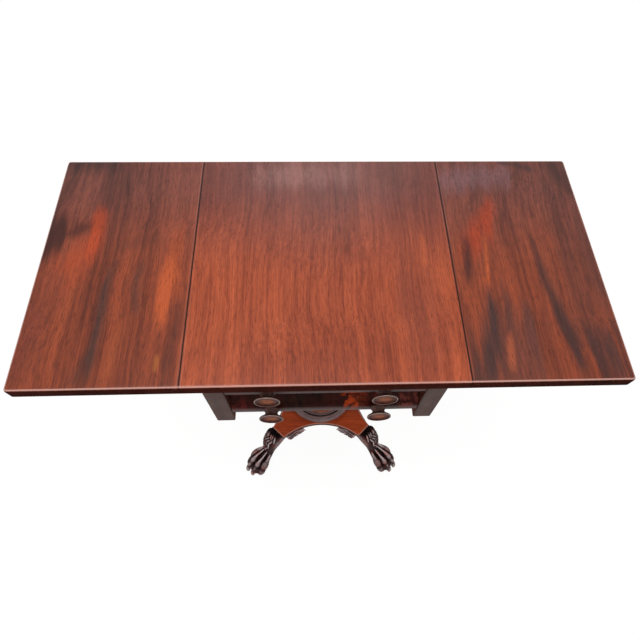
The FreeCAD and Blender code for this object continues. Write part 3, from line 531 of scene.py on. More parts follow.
def board(name, colours, marks, rough=0.3):
    """A board of the top: grain from front to back, darker and greyer at the back with painted shade
    and sheen, with the photo's marks.
    """
    (light, dark), (back_light, back_dark) = colours
    tree = MaterialTree(name)
    place, layers, pores = grain_layers(tree, "y", figure=9.0)
    cross = tree.noise(tree.along(place, "x", 0.35), scale=34.0)
    tone = weighed(tree, (*layers, cross), BOARD_SHARES)
    # Painted shade and sheen: the colours turn darker and greyer towards the back
    behind = tree.ramp(tree.part(place, "y"), *BACK_SHADE_AND_SHEEN_STRETCH)
    colour = tree.mix(tone, tree.mix(behind, dark, back_dark), tree.mix(behind, light, back_light))
    for first, last, width, strength, screen in marks:
        tint = shade(*screen)
        mark = streak(tree, place, first, last, width, strength)
        colour = tree.mix(mark, colour, tree.mix(tone, darker(tint, 0.7), darker(tint, 1.2)))
    holes = tree.ramp(pores, 0.36, 0.47, 0.4, 0.0)
    colour = tree.mix(holes, colour, darker(dark, 0.4))
    colour = seam_lines(tree, colour, layers[1])
    # Painted shade: the upright edges dark brown and without shine
    ends = tree.times(tree.facing("z", 0.66, 0.45), 0.95)
    colour = tree.mix(ends, colour, tree.mix(tone, shade(38, 16, 14), shade(88, 38, 30)))
    # Painted highlight: pale along the rounded arris
    arris = tree.times(tree.facing("z", 0.96, 0.9), tree.facing("z", 0.6, 0.72))
    colour = tree.mix(tree.times(arris, 0.85), colour, shade(222, 172, 160))
    relief = tree.math("SUBTRACT", layers[3], holes)
    shine = tree.ramp(ends, 0.0, 1.0, 0.22, 0.0)
    return tree.surface(colour, tree.polish(rough, 0.05), relief, 0.00006, shine)


def iron():
    """Dark forged metal, mottled and half dull."""
    tree = MaterialTree("iron")
    patch = tree.noise(tree.place, scale=180.0, detail=4.0)
    colour = tree.mix(tree.ramp(patch, 0.35, 0.65), shade(52, 48, 46), shade(92, 80, 72))
    rough = tree.ramp(patch, 0.3, 0.7, 0.4, 0.6)
    return tree.surface(colour, rough, patch, 0.0001, 0.5, coat_rough=0.03, metal=0.8)


# The photo's marks on the top: two pixels, half width in metres, strength and screen colour; most
# are the wood's own figure, and the two pale grey ones at the back are painted sheen
LEFT_MARKS = [
    ((68, 165), (112, 165), 0.045, 0.85, (62, 34, 30)),
    ((52, 214), (64, 190), 0.03, 0.6, (84, 42, 36)),
    ((42, 252), (62, 222), 0.036, 0.95, (58, 22, 16)),
    ((60, 238), (90, 226), 0.024, 0.75, (70, 28, 20)),
    ((66, 268), (86, 244), 0.030, 0.6, (176, 72, 38)),
    ((90, 256), (104, 214), 0.028, 0.75, (194, 76, 38)),
    ((66, 290), (88, 250), 0.024, 0.5, (186, 78, 44)),
    ((76, 388), (113, 256), 0.0125, 0.85, (76, 50, 44)),
    ((68, 388), (80, 362), 0.02, 0.6, (76, 50, 44)),
    ((132, 316), (142, 258), 0.014, 0.6, (92, 56, 46)),
    ((116, 250), (150, 240), 0.02, 0.4, (96, 50, 38)),
    ((165, 386), (181, 290), 0.0105, 0.7, (86, 46, 38)),
    ((157, 324), (173, 258), 0.016, 0.7, (204, 96, 50)),
    ((164, 306), (184, 232), 0.024, 0.5, (196, 90, 50)),
    ((156, 370), (158, 356), 0.006, 0.5, (200, 118, 52)),
    ((14, 380), (46, 290), 0.05, 0.55, (108, 50, 38)),
    ((100, 386), (124, 320), 0.02, 0.4, (170, 84, 48)),
]
RIGHT_MARKS = [
    ((526, 390), (516, 330), 0.08, 0.65, (92, 54, 48)),
    ((604, 350), (562, 200), 0.06, 0.4, (104, 60, 52)),
    # A painted reflection: the bluish-grey sheen at the back of the right leaf
    ((452, 180), (496, 178), 0.045, 0.65, (128, 92, 96)),
    ((492, 163), (530, 174), 0.012, 0.7, (66, 42, 42)),
    ((548, 170), (566, 190), 0.03, 0.75, (66, 34, 30)),
    ((474, 250), (490, 204), 0.032, 0.75, (176, 64, 32)),
    ((473, 284), (469, 232), 0.013, 0.8, (66, 32, 28)),
    ((493, 290), (485, 222), 0.007, 0.7, (206, 96, 52)),
    ((491, 392), (497, 288), 0.032, 0.95, (68, 44, 42)),
    ((590, 380), (536, 248), 0.0125, 0.85, (68, 42, 40)),
    ((556, 296), (528, 224), 0.009, 0.7, (70, 38, 34)),
    ((548, 384), (530, 300), 0.012, 0.55, (84, 54, 50)),
    ((516, 366), (514, 330), 0.009, 0.6, (190, 96, 60)),
    ((622, 378), (600, 336), 0.045, 0.8, (72, 44, 42)),
    ((600, 300), (572, 210), 0.028, 0.5, (96, 54, 46)),
    ((560, 300), (530, 200), 0.012, 0.45, (168, 84, 56)),
]
CENTRE_MARKS = [
    ((430, 380), (414, 260), 0.06, 0.5, (136, 68, 52)),
    ((428, 262), (424, 232), 0.010, 0.6, (196, 96, 58)),
    ((436, 250), (430, 190), 0.016, 0.5, (110, 52, 44)),
    # A painted sheen: the pinkish-grey sheen at the back of the centre board
    ((270, 178), (340, 176), 0.05, 0.4, (176, 124, 118)),
]


def assign(names, material):
    """Gives the shown CAD pieces a finish through their objects' own slots."""
    for name in names:
        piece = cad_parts[name]
        if not piece.material_slots:
            piece.data.materials.append(None)
        for place in piece.material_slots:
            place.link = "OBJECT"
            place.material = material


def make_world():
    """Soft even light, and white where the camera, a polished or a clear face looks at it."""
    world = bpy.data.worlds.new("studio")
    bpy.context.scene.world = world
    tree = Tree(world)
    path = tree.node("ShaderNodeLightPath").outputs
    seen = tree.math("ADD", path["Is Camera Ray"], path["Is Transmission Ray"], clamp=True)
    seen = tree.math("ADD", seen, path["Is Glossy Ray"], clamp=True)
    plain = tree.node("ShaderNodeBackground", {"Color": STUDIO_TINT, "Strength": STUDIO_LEVEL})
    white = tree.node("ShaderNodeBackground", {"Color": WHITE, "Strength": 1.0})
    tree.end("ShaderNodeOutputWorld", tree.blended(seen, plain, white))


def make_lamps():
    for name, place, target, width, power in LAMPS:
        data = bpy.data.lights.new(name, "AREA")
        data.shape = "DISK"
        data.size = width
        data.energy = power
        lamp = add_object(name, data)
        lamp.location = place
        way = Vector(target) - Vector(place)
        lamp.rotation_euler = way.to_track_quat("-Z", "Y").to_euler()


def floor_material():
    """Pale and matt, with a glow for the camera alone, so that only shadows show on it."""
    tree = Tree(bpy.data.materials.new("floor"))
    path = tree.node("ShaderNodeLightPath").outputs
    share = tree.math("MULTIPLY", path["Is Camera Ray"], FLOOR_GLOW_SHARE)
    pale = tree.node("ShaderNodeBsdfDiffuse", {"Color": FLOOR_TINT})
    glow = tree.node("ShaderNodeEmission", {"Strength": FLOOR_GLOW})
    return tree.end("ShaderNodeOutputMaterial", tree.blended(share, pale, glow))


def make_floor():
    mesh = bpy.data.meshes.new("floor")
    corners = [
        (side * FLOOR_REACH, end * FLOOR_REACH, 0)
        for side, end in ((-1, -1), (1, -1), (1, 1), (-1, 1))
    ]
    mesh.from_pydata(corners, [], [(0, 1, 2, 3)])
    mesh.materials.append(floor_material())
    floor = add_object("floor", mesh)
    floor.location.z = FLOOR_LEVEL


# How sharp a turned edge has to be to stay sharp, in degrees
SHARP_ANGLE = 38


def lathe(name, outline, material, sides):
    """A turned piece about the Z axis from (radius, height) points that end on the axis."""
    mesh = bmesh.new()
    rings = []
    for radius, height in outline:
        if radius == 0:
            rings.append([mesh.verts.new((0, 0, height))])
            continue
        turns = [2 * math.pi * index / sides for index in range(sides)]
        rings.append(
            [mesh.verts.new((radius * math.cos(t), radius * math.sin(t), height)) for t in turns]
        )
    for low, high in zip(rings, rings[1:]):
        for index in range(sides):
            after = (index + 1) % sides
            if len(low) == 1:
                mesh.faces.new((low[0], high[after], high[index]))
            elif len(high) == 1:
                mesh.faces.new((low[index], low[after], high[0]))
            else:
                mesh.faces.new((low[index], low[after], high[after], high[index]))
    bmesh.ops.recalc_face_normals(mesh, faces=mesh.faces)
    data = bpy.data.meshes.new(name)
    mesh.to_mesh(data)
    mesh.free()
    data.shade_smooth()
    data.set_sharp_from_angle(angle=math.radians(SHARP_ANGLE))
    data.materials.append(material)
    return add_object(name, data)


MILLIMETRE = 0.001

# The leg's way from the platform to the toes: reach, sway sideways, height, fall in
# degrees, half width and half depth, in millimetres and in the plane of the leg
LEG_WAY = [
    (138.0, 2.0, 101.0, 12.0, 21.0, 15.0),
    (150.0, 4.5, 98.0, 20.0, 22.0, 16.5),
    (163.0, 6.0, 93.0, 34.0, 23.5, 17.0),
    (177.5, 6.0, 82.0, 50.0, 22.5, 18.0),
    (187.0, 4.8, 67.0, 60.0, 18.8, 16.5),
    (194.0, 3.6, 52.0, 62.0, 15.5, 13.8),
    (207.0, 3.4, 35.0, 48.0, 16.5, 13.5),
    (222.0, 4.0, 25.0, 30.0, 21.5, 13.5),
    (238.0, 5.0, 18.0, 16.0, 24.0, 13.0),
    (252.0, 6.6, 13.5, 6.0, 22.0, 11.0),
    (262.0, 7.6, 10.5, 3.0, 17.0, 9.0),
]
# The front right leg's way from the middle, in degrees from the X axis
FRONT_RIGHT = -45
# The paw is turned outwards about its heel
PAW_TURN = 7.5
HEEL_REACH = 207.0
# How far the toes are let down to the floor, and over what reach
TOE_DROP = 2.4
TOE_DROP_REACH = 40.0
# The four toes from the outermost inwards, each from its sinew on the ankle over two
# knuckles to its end: reach, spread sideways, height, half width and half depth
TOES = [
    [
        (199.0, 14.5, 60.0, 2.4, 3.2),
        (205.0, 18.5, 51.0, 3.2, 4.0),
        (212.0, 22.0, 43.0, 4.8, 5.6),
        (220.0, 24.5, 37.0, 6.8, 7.4),
        (229.0, 25.0, 33.0, 8.6, 9.2),
        (236.0, 24.2, 28.5, 8.4, 9.0),
        (242.0, 22.4, 22.5, 7.2, 8.0),
        (248.5, 20.6, 18.0, 8.4, 8.8),
        (255.0, 19.2, 12.5, 7.8, 8.0),
        (259.0, 18.6, 8.5, 5.0, 5.4),
    ],
    [
        (198.0, 9.0, 64.0, 2.2, 3.0),
        (204.5, 10.6, 57.0, 2.3, 3.4),
        (213.5, 12.2, 49.5, 2.4, 4.2),
        (225.0, 13.8, 42.0, 3.0, 5.6),
        (234.0, 14.2, 36.5, 5.4, 7.8),
        (242.0, 13.8, 31.0, 8.0, 9.6),
        (249.5, 12.6, 25.0, 7.2, 8.4),
        (256.0, 11.4, 20.0, 7.6, 8.4),
        (262.0, 10.4, 14.5, 7.0, 7.4),
    ],
    [
        (197.0, 1.2, 65.0, 2.2, 3.0),
        (203.5, 0.4, 57.5, 2.3, 3.4),
        (212.5, -0.6, 50.0, 2.4, 4.2),
        (224.0, -2.0, 42.0, 3.0, 5.6),
        (233.0, -3.0, 36.0, 5.4, 7.8),
        (240.5, -4.2, 30.0, 8.2, 9.6),
        (247.5, -5.0, 23.5, 7.2, 8.4),
        (254.0, -6.0, 18.5, 7.6, 8.4),
        (259.5, -7.0, 13.5, 7.0, 7.4),
    ],
    [
        (196.0, -4.6, 56.0, 2.4, 3.2),
        (203.0, -8.0, 47.5, 3.0, 4.0),
        (211.0, -11.5, 40.0, 4.4, 5.4),
        (219.0, -14.6, 34.5, 6.4, 7.4),
        (226.0, -16.4, 30.5, 9.4, 9.6),
        (232.0, -17.4, 26.5, 10.6, 10.2),
        (237.5, -18.0, 20.5, 10.2, 9.4),
        (243.5, -18.6, 15.5, 12.0, 10.8),
        (249.5, -19.2, 11.5, 11.0, 9.6),
        (254.0, -19.4, 8.8, 7.6, 7.0),
    ],
]
# The claws of the two middle toes
CLAWS = [
    [
        (260.0, 10.8, 15.0, 6.0, 6.0),
        (264.5, 9.8, 13.5, 7.0, 6.6),
        (268.0, 8.6, 10.5, 6.6, 6.0),
        (270.4, 7.4, 6.5, 5.6, 4.6),
        (271.2, 6.8, 3.2, 4.6, 3.2),
    ],
    [
        (256.0, -6.2, 15.0, 6.0, 6.0),
        (261.0, -7.2, 13.5, 7.0, 6.6),
        (265.0, -8.6, 10.5, 6.6, 6.0),
        (267.6, -9.8, 6.5, 5.6, 4.6),
        (268.4, -10.2, 3.2, 4.6, 3.2),
    ],
]
# Rows of hair over the knee: first and last place along the leg's way, first and last
# angle round it, number of locks, their radius and how far they lean
HAIR = [
    (1.75, 2.75, -10.0, 122.0, 8, 3.0, 26.0),
    (2.25, 3.3, -16.0, 118.0, 8, 3.1, -28.0),
    (2.8, 3.85, -14.0, 114.0, 8, 3.0, 28.0),
    (3.35, 4.45, -10.0, 108.0, 7, 2.8, -26.0),
    (3.9, 4.75, 0.0, 100.0, 6, 2.4, 6.0),
]
# What makes no two locks alike: the pace of their play, and how much it moves a lock's
# start, angle and lean
PLAY_PACE = 2.3
START_PLAY = 0.12
ANGLE_PLAY = 0.2
LEAN_PLAY = 0.5
# A lock's tube, its thickness and sinking as shares of its radius, and how high it stands
LOCK_SIDES = 8
LOCK_STEPS = 9
LOCK_THICK_SHARE = 0.8
LOCK_SUNK_SHARE = 0.45
LOCK_LIFT = 2.8
# A lock swells along the part of a half wave from the start over the run, to this power,
# and its lean grows with the curl's power
SWELL_START = 0.12
SWELL_RUN = 0.8
SWELL_POWER = 0.6
LOCK_CURL = 1.5
# The hollow between the platform and the hair, with painted shade there, black and dull, and the
# smooth near side, with a painted sheen there, in metres
NECK_END = 0.158
NECK_FADE = 0.018
NEAR_SIDE = -0.004
NEAR_SIDE_FADE = 0.010
NEAR_SIDE_END = 0.200
NEAR_SIDE_END_FADE = 0.016
NEAR_SIDE_SHEEN_LEVEL = 0.72
# The lobes of a carved leaf: first and last angle along the platform's hollow side, drop
# and radius
LOBES = (
    (36.5, 31.0, 19.5, 6.6),
    (31.5, 26.0, 16.5, 6.0),
    (26.5, 21.5, 12.5, 5.2),
    (22.4, 19.4, 7.5, 3.8),
    (19.4, 17.4, 3.0, 2.6),
)
# A lobe's way as shares of its length and drop, with its stand behind the edge in
# millimetres and its share of the radius
LOBE_WAY = (
    (0.0, 0.1, 4.5, 0.6),
    (0.3, 0.35, 0.5, 1.0),
    (0.6, 0.7, -3.5, 1.15),
    (0.85, 0.95, -6.0, 1.0),
    (1.0, 0.9, -5.0, 0.6),
)
# Each lobe has three fingers, which spread at their ends: their spread at the start and
# over the length in degrees, how much lower the outer two hang, and their share of the radius
FINGERS = (-1, 0, 1)
FINGER_SPREAD_START = 0.33
FINGER_SPREAD = 1.1
FINGER_FALL = 0.6
FINGER_SHARE = 0.42
# How far under the platform a lobe starts
LOBE_SEAT = 1.5
# The ground that the lobes stand on: how far behind the platform's edge, how far under
# it, and how thick
STRIPS = (
    (2.5, 3.2, 3.0),
    (-0.5, 7.0, 3.8),
    (-2.5, 11.0, 3.8),
    (-3.6, 15.0, 3.4),
)
# A strip's way: angle along the hollow side and share of its thickness
STRIP_WAY = ((36.0, 0.7), (33.5, 1.0), (28.0, 0.95), (22.0, 0.75), (17.4, 0.4))
# The angle where a strip leaves the platform, and the angle over which it gets to its depth
STRIP_END = 14
STRIP_RUN = 24.5

# The finest detail that the melted skins keep, and their easing
LEG_DETAIL = 0.00105
LEAF_DETAIL = 0.0009
EASE_SHARE = 0.5
EASE_ROUNDS = 2
SKIN_GAP = 0.00005
# What stands out: rounds of easing that give the surroundings, and the height that counts
# as fully raised
RAISED_LEVELS = ((12, 0.0006), (60, 0.0016))
# How strongly the carving's painted highlights and painted shade follow what stands out
LEG_CONTRAST = 1.0
LEAF_CONTRAST = 1.6


def on_curve(keys, place):
    """The values between keys, on a smooth curve; place counts the keys from 0."""
    last = len(keys) - 1
    index = max(0, min(int(place), last - 1))
    t = place - index
    a = Vector(keys[max(index - 1, 0)])
    b = Vector(keys[index])
    c = Vector(keys[index + 1])
    d = Vector(keys[min(index + 2, last)])
    return 0.5 * (
        2 * b
        + (c - a) * t
        + (2 * a - 5 * b + 4 * c - d) * t**2
        + (3 * b - a - 3 * c + d) * t**3
    )


def sweep(mesh, path, sizes, sides):
    """A closed tube along a path, with a half width and a half depth at each point."""
    rings = []
    last = len(path) - 1
    for index, centre in enumerate(path):
        way = (path[min(index + 1, last)] - path[max(index - 1, 0)]).normalized()
        sideways = Vector((0, 1, 0)) - way * way.y
        if sideways.length < 0.2:
            sideways = Vector((1, 0, 0)) - way * way.x
        sideways.normalize()
        depthwise = way.cross(sideways)
        wide, deep = sizes[index]
        ring = []
        for side in range(sides):
            angle = 2 * math.pi * side / sides
            out = sideways * (wide * math.cos(angle)) + depthwise * (deep * math.sin(angle))
            ring.append(mesh.verts.new((centre + out) * MILLIMETRE))
        rings.append(ring)
    for low, high in zip(rings, rings[1:]):
        for side in range(sides):
            after = (side + 1) % sides
            mesh.faces.new((low[side], low[after], high[after], high[side]))
    mesh.faces.new(rings[0][::-1])
    mesh.faces.new(rings[-1])


def tube(mesh, keys, steps, sides):
    """A closed tube on a smooth way through keys of place, half width and half depth."""
    last = len(keys) - 1
    places = [on_curve(keys, last * step / steps) for step in range(steps + 1)]
    sweep(mesh, [Vector(p[:3]) for p in places], [(p[3], p[4]) for p in places], sides)


def melted(name, mesh, detail, contrast):
    """Joins overlapping tubes into one carved skin and marks what stands out on it."""
    bmesh.ops.recalc_face_normals(mesh, faces=mesh.faces)
    data = bpy.data.meshes.new(name)
    mesh.to_mesh(data)
    mesh.free()
    rough = add_object(name + "_rough", data)
    skin = rough.modifiers.new("skin", "REMESH")
    skin.mode = "VOXEL"
    skin.voxel_size = detail
    skin.use_smooth_shade = True
    ease = rough.modifiers.new("ease", "SMOOTH")
    ease.factor = EASE_SHARE
    ease.iterations = EASE_ROUNDS
    view = bpy.context.evaluated_depsgraph_get()
    made = bpy.data.meshes.new_from_object(rough.evaluated_get(view))
    bpy.data.objects.remove(rough)
    made.name = name
    for vertex in made.vertices:
        vertex.co.z = min(max(vertex.co.z, 0.0), PLATFORM_UNDER - SKIN_GAP)
    mark_raised(made, contrast)
    for face in made.polygons:
        face.use_smooth = True
    return made


def mark_raised(data, contrast):
    """Stores how far each point stands out of its surroundings, 0.5 where it is level.

    The surroundings are the mesh after so many rounds of easing; both levels have half a say.
    """
    count = len(data.vertices)
    spots = np.empty(count * 3)
    data.vertices.foreach_get("co", spots)
    spots = spots.reshape(-1, 3)
    ends = np.empty(len(data.edges) * 2, dtype=np.int64)
    data.edges.foreach_get("vertices", ends)
    ends = ends.reshape(-1, 2)
    degree = np.bincount(ends.ravel(), minlength=count).astype(float)
    normals = np.empty(count * 3)
    data.vertices.foreach_get("normal", normals)
    normals = normals.reshape(-1, 3)
    value = np.full(count, 0.5)
    calm = spots.copy()
    done = 0
    for rounds, reach in RAISED_LEVELS:
        for _ in range(rounds - done):
            total = np.zeros_like(calm)
            for axis in range(3):
                total[:, axis] = np.bincount(ends[:, 0], calm[ends[:, 1], axis], count)
                total[:, axis] += np.bincount(ends[:, 1], calm[ends[:, 0], axis], count)
            calm = 0.5 * calm + 0.5 * total / np.maximum(degree, 1)[:, None]
        done = rounds
        out = ((spots - calm) * normals).sum(axis=1)
        value += np.clip(contrast * out / reach, -1, 1) / (2 * len(RAISED_LEVELS))
    layer = data.attributes.new("raised", "FLOAT", "POINT")
    layer.data.foreach_set("value", np.clip(value, 0, 1).astype(np.float32))


def trunk_at(place, angle, lift):
    """A point over the leg's skin: place along its way, angle round it, 90 on top."""
    reach, sway, height, fall, wide, deep = on_curve(LEG_WAY, place)
    fall = math.radians(fall)
    turn = math.radians(angle)
    outward = Vector((math.sin(fall), 0, math.cos(fall)))
    side = Vector((0, 1, 0))
    out = side * ((wide + lift) * math.cos(turn)) + outward * ((deep + lift) * math.sin(turn))
    return Vector((reach, sway, height)) + out


def lock(mesh, start, end, radius):
    """A lock of hair over the leg's skin, from (place, angle) to another, fullest in its middle."""
    path = []
    sizes = []
    for step in range(LOCK_STEPS + 1):
        share = step / LOCK_STEPS
        place = start[0] + (end[0] - start[0]) * share
        angle = start[1] + (end[1] - start[1]) * share**LOCK_CURL
        swell = math.sin(math.pi * (SWELL_START + SWELL_RUN * share)) ** SWELL_POWER
        path.append(trunk_at(place, angle, LOCK_LIFT * swell - radius * LOCK_SUNK_SHARE))
        sizes.append((radius * swell, radius * LOCK_THICK_SHARE * swell))
    sweep(mesh, path, sizes, LOCK_SIDES)


def hair(mesh):
    """Rows of locks that lean to and fro, no two alike."""
    for row, (first, last, low, high, count, radius, lean) in enumerate(HAIR):
        for index in range(count):
            play = math.sin(PLAY_PACE * (row + 1) * (index + 1))
            step = index + (row % 2) / 2 + ANGLE_PLAY * play
            angle = low + (high - low) * step / count
            start = (first + START_PLAY * play, angle)
            lock(mesh, start, (last, angle + lean * (1 + LEAN_PLAY * play)), radius)


def faded(distance, length):
    """0 before the start of a stretch, and 1 from its end on."""
    return min(max(distance / length, 0), 1)


def turned_out(key):
    """A key of the paw, turned outwards about the heel and let down to the floor."""
    turn = math.radians(PAW_TURN)
    ahead = key[0] - HEEL_REACH
    side = key[1]
    reach = HEEL_REACH + ahead * math.cos(turn) - side * math.sin(turn)
    level = key[2] - TOE_DROP * faded(ahead, TOE_DROP_REACH)
    return (reach, ahead * math.sin(turn) + side * math.cos(turn), level, *key[3:])


def leg_skin():
    """The leg that points along X: trunk, toes, claws and hair in one skin."""
    mesh = bmesh.new()
    trunk = [(reach, sway, height, wide, deep) for reach, sway, height, fall, wide, deep in LEG_WAY]
    tube(mesh, trunk, steps=40, sides=32)
    for toe in TOES:
        tube(mesh, [turned_out(key) for key in toe], steps=40, sides=16)
    for claw in CLAWS:
        tube(mesh, [turned_out(key) for key in claw], steps=14, sides=12)
    hair(mesh)
    data = melted("leg_skin", mesh, LEG_DETAIL, LEG_CONTRAST)
    mark_neck_and_side(data)
    return data


def mark_neck_and_side(data):
    """Paints shade on the leg's neck, black and dull, and a pale painted sheen on its smooth near
    side.
    """
    values = data.attributes["raised"].data
    for vertex in data.vertices:
        reach, side = vertex.co.x, vertex.co.y
        value = values[vertex.index].value
        smooth = faded(NEAR_SIDE - side, NEAR_SIDE_FADE)
        smooth *= faded(NEAR_SIDE_END - reach, NEAR_SIDE_END_FADE)
        # Painted shade on the neck, and a painted sheen on the near side
        dark = value * faded(reach - NECK_END, NECK_FADE)
        values[vertex.index].value = dark + (max(value, NEAR_SIDE_SHEEN_LEVEL) - dark) * smooth


def hollow_side(angle, inset, height, turned):
    """A point of the platform's hollow front side, or of its right one when turned.

    The angle is counted from the side's middle and the inset towards the platform.
    """
    radius = PLATFORM_SIDE_RADIUS + inset
    turn = math.radians(angle)
    across = radius * math.sin(turn)
    depth = radius * math.cos(turn) - PLATFORM_WAIST - PLATFORM_SIDE_RADIUS
    return (-depth, -across, height) if turned else (across, depth, height)


def lobe_keys(lobe, finger, under, turned):
    """The way of one finger of a lobe, from under the platform's edge outwards and down."""
    start, end, drop, radius = lobe
    keys = []
    for share, fall, stand, size in LOBE_WAY:
        spread = FINGER_SPREAD_START + FINGER_SPREAD * share
        angle = start + (end - start) * share + finger * spread
        level = under - LOBE_SEAT - drop * fall - abs(finger) * FINGER_FALL
        half = radius * size * FINGER_SHARE
        keys.append((*hollow_side(angle, stand, level, turned), half, half))
    return keys


def strip_keys(strip, under, turned):
    """The way of one strip of ground under the platform's edge."""
    inset, low, thick = strip
    keys = []
    for angle, share in STRIP_WAY:
        level = under - low * (angle - STRIP_END) / STRIP_RUN
        keys.append((*hollow_side(angle, inset, level, turned), thick * share, thick * share))
    return keys


def carved_leaves():
    """The pair of lobed leaves that flank the front right leg."""
    mesh = bmesh.new()
    under = PLATFORM_UNDER / MILLIMETRE
    for turned in (False, True):
        for lobe in LOBES:
            for finger in FINGERS:
                tube(mesh, lobe_keys(lobe, finger, under, turned), steps=12, sides=10)
        for strip in STRIPS:
            tube(mesh, strip_keys(strip, under, turned), steps=16, sides=10)
    return melted("carved_leaves", mesh, LEAF_DETAIL, LEAF_CONTRAST)


# The corners: name, and what X and Y are multiplied by to mirror the front right one there
CORNERS = (
    ("front_right", 1, 1),
    ("front_left", -1, 1),
    ("back_right", 1, -1),
    ("back_left", -1, -1),
)


def mirrored_mesh(data, side, end):
    """The front right piece's mesh for another corner, its faces still turned outwards."""
    made = data.copy()
    made.transform(Matrix.Diagonal((side, end, 1, 1)))
    if side * end < 0:
        made.flip_normals()
    return made


def make_legs(material):
    leg = leg_skin()
    leg.transform(Matrix.Rotation(math.radians(FRONT_RIGHT), 4, "Z"))
    leaves = carved_leaves()
    for data in (leg, leaves):
        data.materials.append(material)
    for corner, side, end in CORNERS:
        for name, data, node in (
            ("paw_leg_", leg, "leg_"),
            ("lobed_leaves_", leaves, "leg_carving_"),
        ):
            piece = add_object(name + corner, mirrored_mesh(data, side, end))
            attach(piece, "table")
            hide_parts(node + corner)


# Outlines of the turned pieces as radii and heights in metres, with only the points that
# their hollows and rounds need
# A mushroom knob, from the end of its stem: neck, thin undercut rim and a dished face
KNOB_OUTLINE = [
    (0.0, -0.010),
    (0.0060, -0.010),
    (0.0060, -0.0015),
    (0.0136, -0.0010),
    (0.0138, 0.0004),
    (0.0126, 0.0018),
    (0.0110, 0.0030),
    (0.0105, 0.0050),
    (0.0112, 0.0080),
    (0.0140, 0.0104),
    (0.0180, 0.0124),
    (0.0198, 0.0138),
    (0.0205, 0.0151),
    (0.0204, 0.0161),
    (0.0199, 0.0167),
    (0.0192, 0.0169),
    (0.0184, 0.0165),
    (0.0172, 0.0156),
    (0.0150, 0.0149),
    (0.0100, 0.0145),
    (0.0, 0.0145),
]
# The collar round the column's foot: outer roll, groove, sunk floor, inner rolls
RING_OUTLINE = [
    (0.0221, 0.126),
    (0.0870, 0.126),
    (0.0885, 0.1268),
    (0.0890, 0.1290),
    (0.0890, 0.1335),
    (0.0886, 0.1362),
    (0.0872, 0.1384),
    (0.0850, 0.1396),
    (0.0830, 0.1397),
    (0.0821, 0.1388),
    (0.0812, 0.1397),
    (0.0790, 0.1400),
    (0.0768, 0.1396),
    (0.0758, 0.1384),
    (0.0755, 0.1350),
    (0.0727, 0.1350),
    (0.0725, 0.1386),
    (0.0718, 0.1397),
    (0.0706, 0.1399),
    (0.0697, 0.1392),
    (0.0693, 0.1376),
    (0.0687, 0.1376),
    (0.0680, 0.1391),
    (0.0664, 0.1400),
    (0.0221, 0.1400),
    (0.0221, 0.126),
]
# The column: tenon, foot, cove, bead, neck, vase, shaft, astragal and spreading top
COLUMN_OUTLINE = [
    (0.0, 0.0885),
    (0.0220, 0.0885),
    (0.0220, 0.1401),
    (0.0640, 0.1401),
    (0.0655, 0.1412),
    (0.0658, 0.1430),
    (0.0648, 0.1448),
    (0.0625, 0.1457),
    (0.0600, 0.1459),
    (0.0540, 0.1472),
    (0.0475, 0.1502),
    (0.0420, 0.1548),
    (0.0378, 0.1604),
    (0.0352, 0.1660),
    (0.0348, 0.1672),
    (0.0366, 0.1684),
    (0.0374, 0.1710),
    (0.0366, 0.1738),
    (0.0346, 0.1752),
    (0.0280, 0.1756),
    (0.0266, 0.1768),
    (0.0262, 0.1796),
    (0.0285, 0.1822),
    (0.0335, 0.1862),
    (0.0385, 0.1908),
    (0.0418, 0.1960),
    (0.0430, 0.2015),
    (0.0427, 0.2085),
    (0.0412, 0.2190),
    (0.0385, 0.2370),
    (0.0352, 0.2640),
    (0.0320, 0.3000),
    (0.0295, 0.3400),
    (0.0272, 0.3900),
    (0.0253, 0.4350),
    (0.0244, 0.4600),
    (0.0246, 0.4690),
    (0.0250, 0.4710),
    (0.0300, 0.4716),
    (0.0320, 0.4734),
    (0.0324, 0.4758),
    (0.0318, 0.4784),
    (0.0300, 0.4800),
    (0.0282, 0.4804),
    (0.0284, 0.4830),
    (0.0300, 0.4870),
    (0.0335, 0.4912),
    (0.0390, 0.4946),
    (0.0460, 0.4966),
    (0.0520, 0.4974),
    (0.0524, 0.4990),
    (0.0548, 0.4996),
    (0.0560, 0.5010),
    (0.0562, 0.5034),
    (0.0556, 0.5056),
    (0.0540, 0.5060),
    (0.0180, 0.5060),
    (0.0180, 0.5240),
    (0.0, 0.5240),
]
KNOB_SIDES = 64
COLUMN_SIDES = 144


def make_knobs(material):
    """Two knobs on each drawer front, half way up its bow."""
    for drawer in ("drawer_lower", "drawer_upper"):
        low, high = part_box(drawer + "_front")
        for side, word in ((-1, "left"), (1, "right")):
            piece = lathe(drawer + "_knob_" + word, KNOB_OUTLINE, material, KNOB_SIDES)
            place = (side * KNOB_PLACE, DRAWER_CREST, (low.z + high.z) / 2)
            turn = Matrix.Rotation(math.radians(90), 4, "X")
            piece.matrix_world = Matrix.Translation(place) @ turn
            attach(piece, drawer)
            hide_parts(drawer + "_knobs")


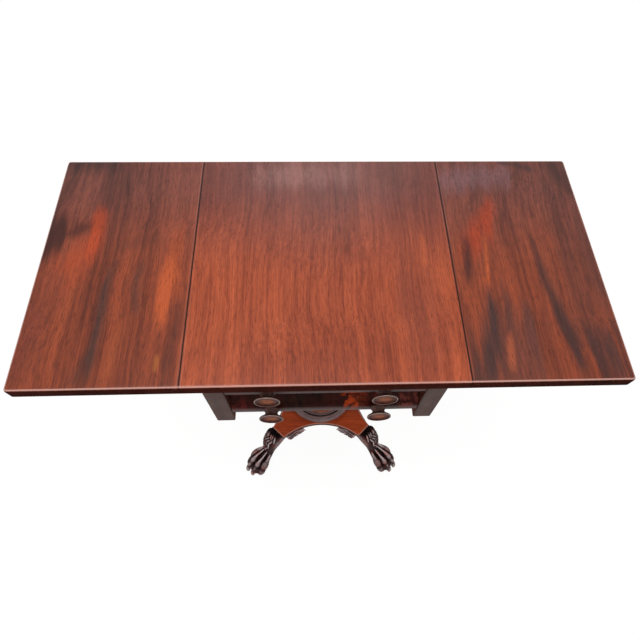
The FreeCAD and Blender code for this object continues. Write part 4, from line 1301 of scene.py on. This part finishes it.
def make_turnings(material):
    for name, outline, node in (
        ("turned_column", COLUMN_OUTLINE, "column"),
        ("moulded_ring", RING_OUTLINE, "column_base_ring"),
    ):
        piece = lathe(name, outline, material, COLUMN_SIDES)
        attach(piece, "table")
        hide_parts(node)


def nodes_named(start, *ends):
    """The solids' nodes whose names have this start, and one of the ends if any is given."""
    return [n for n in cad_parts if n.startswith(start) and (not ends or n.endswith(ends))]


def finish_top():
    assign(["leaf_left"], board("left_leaf", LEAF_COLOURS, LEFT_MARKS))
    assign(["leaf_right"], board("right_leaf", LEAF_COLOURS, RIGHT_MARKS))
    assign(["top_centre"], board("top_centre", CENTRE_COLOURS, CENTRE_MARKS, rough=0.27))


def finish_case():
    rails = ["top_rail", "drawer_divider", "bottom_rail", "back_panel"]
    assign(nodes_named("post_"), wood("case_upright", "z", CASE_COLOURS))
    assign(rails, wood("case_level", "x", RAIL_COLOURS))
    assign(nodes_named("side_panel_"), wood("case_deep", "y", PANEL_COLOURS))
    assign(nodes_named("drawer_", "_front"), crotch_veneer())


def finish_base():
    assign(["column_block"], wood("block", "x", BLOCK_COLOURS, rough=0.28))
    make_turnings(turned_wood())
    board_wood = wood("platform", "x", PLATFORM_COLOURS, arris=PLATFORM_ARRIS_HIGHLIGHT, edge=PLATFORM_EDGE)
    assign(["platform_board"], board_wood)
    assign(["platform_core"], wood("veneered_core", "x", PALE_COLOURS, rough=0.5, edge=CORE_EDGE))
    make_legs(carved_wood())


def finish_inside():
    deep = ["upper_runners", "kickers", "drawer_stops", "leg_tenons"]
    deep += nodes_named("side_lining_") + nodes_named("fly_bracket_") + nodes_named("bracket_block_")
    deep += nodes_named("drawer_", "_side_left", "_side_right")
    assign(deep, plain_wood("plain_deep", "y"))
    level = ["bottom_board", "column_wedge"] + nodes_named("drawer_", "_back", "_bottom")
    assign(level, plain_wood("plain_level", "x"))
    metal = ["bracket_pins"] + nodes_named("hinge_") + nodes_named("", "screws")
    assign(metal, iron())


bpy.context.scene.view_settings.view_transform = "Standard"
make_camera()
make_world()
make_floor()
make_lamps()
finish_top()
finish_case()
finish_base()
make_knobs(knob_wood())
finish_inside()
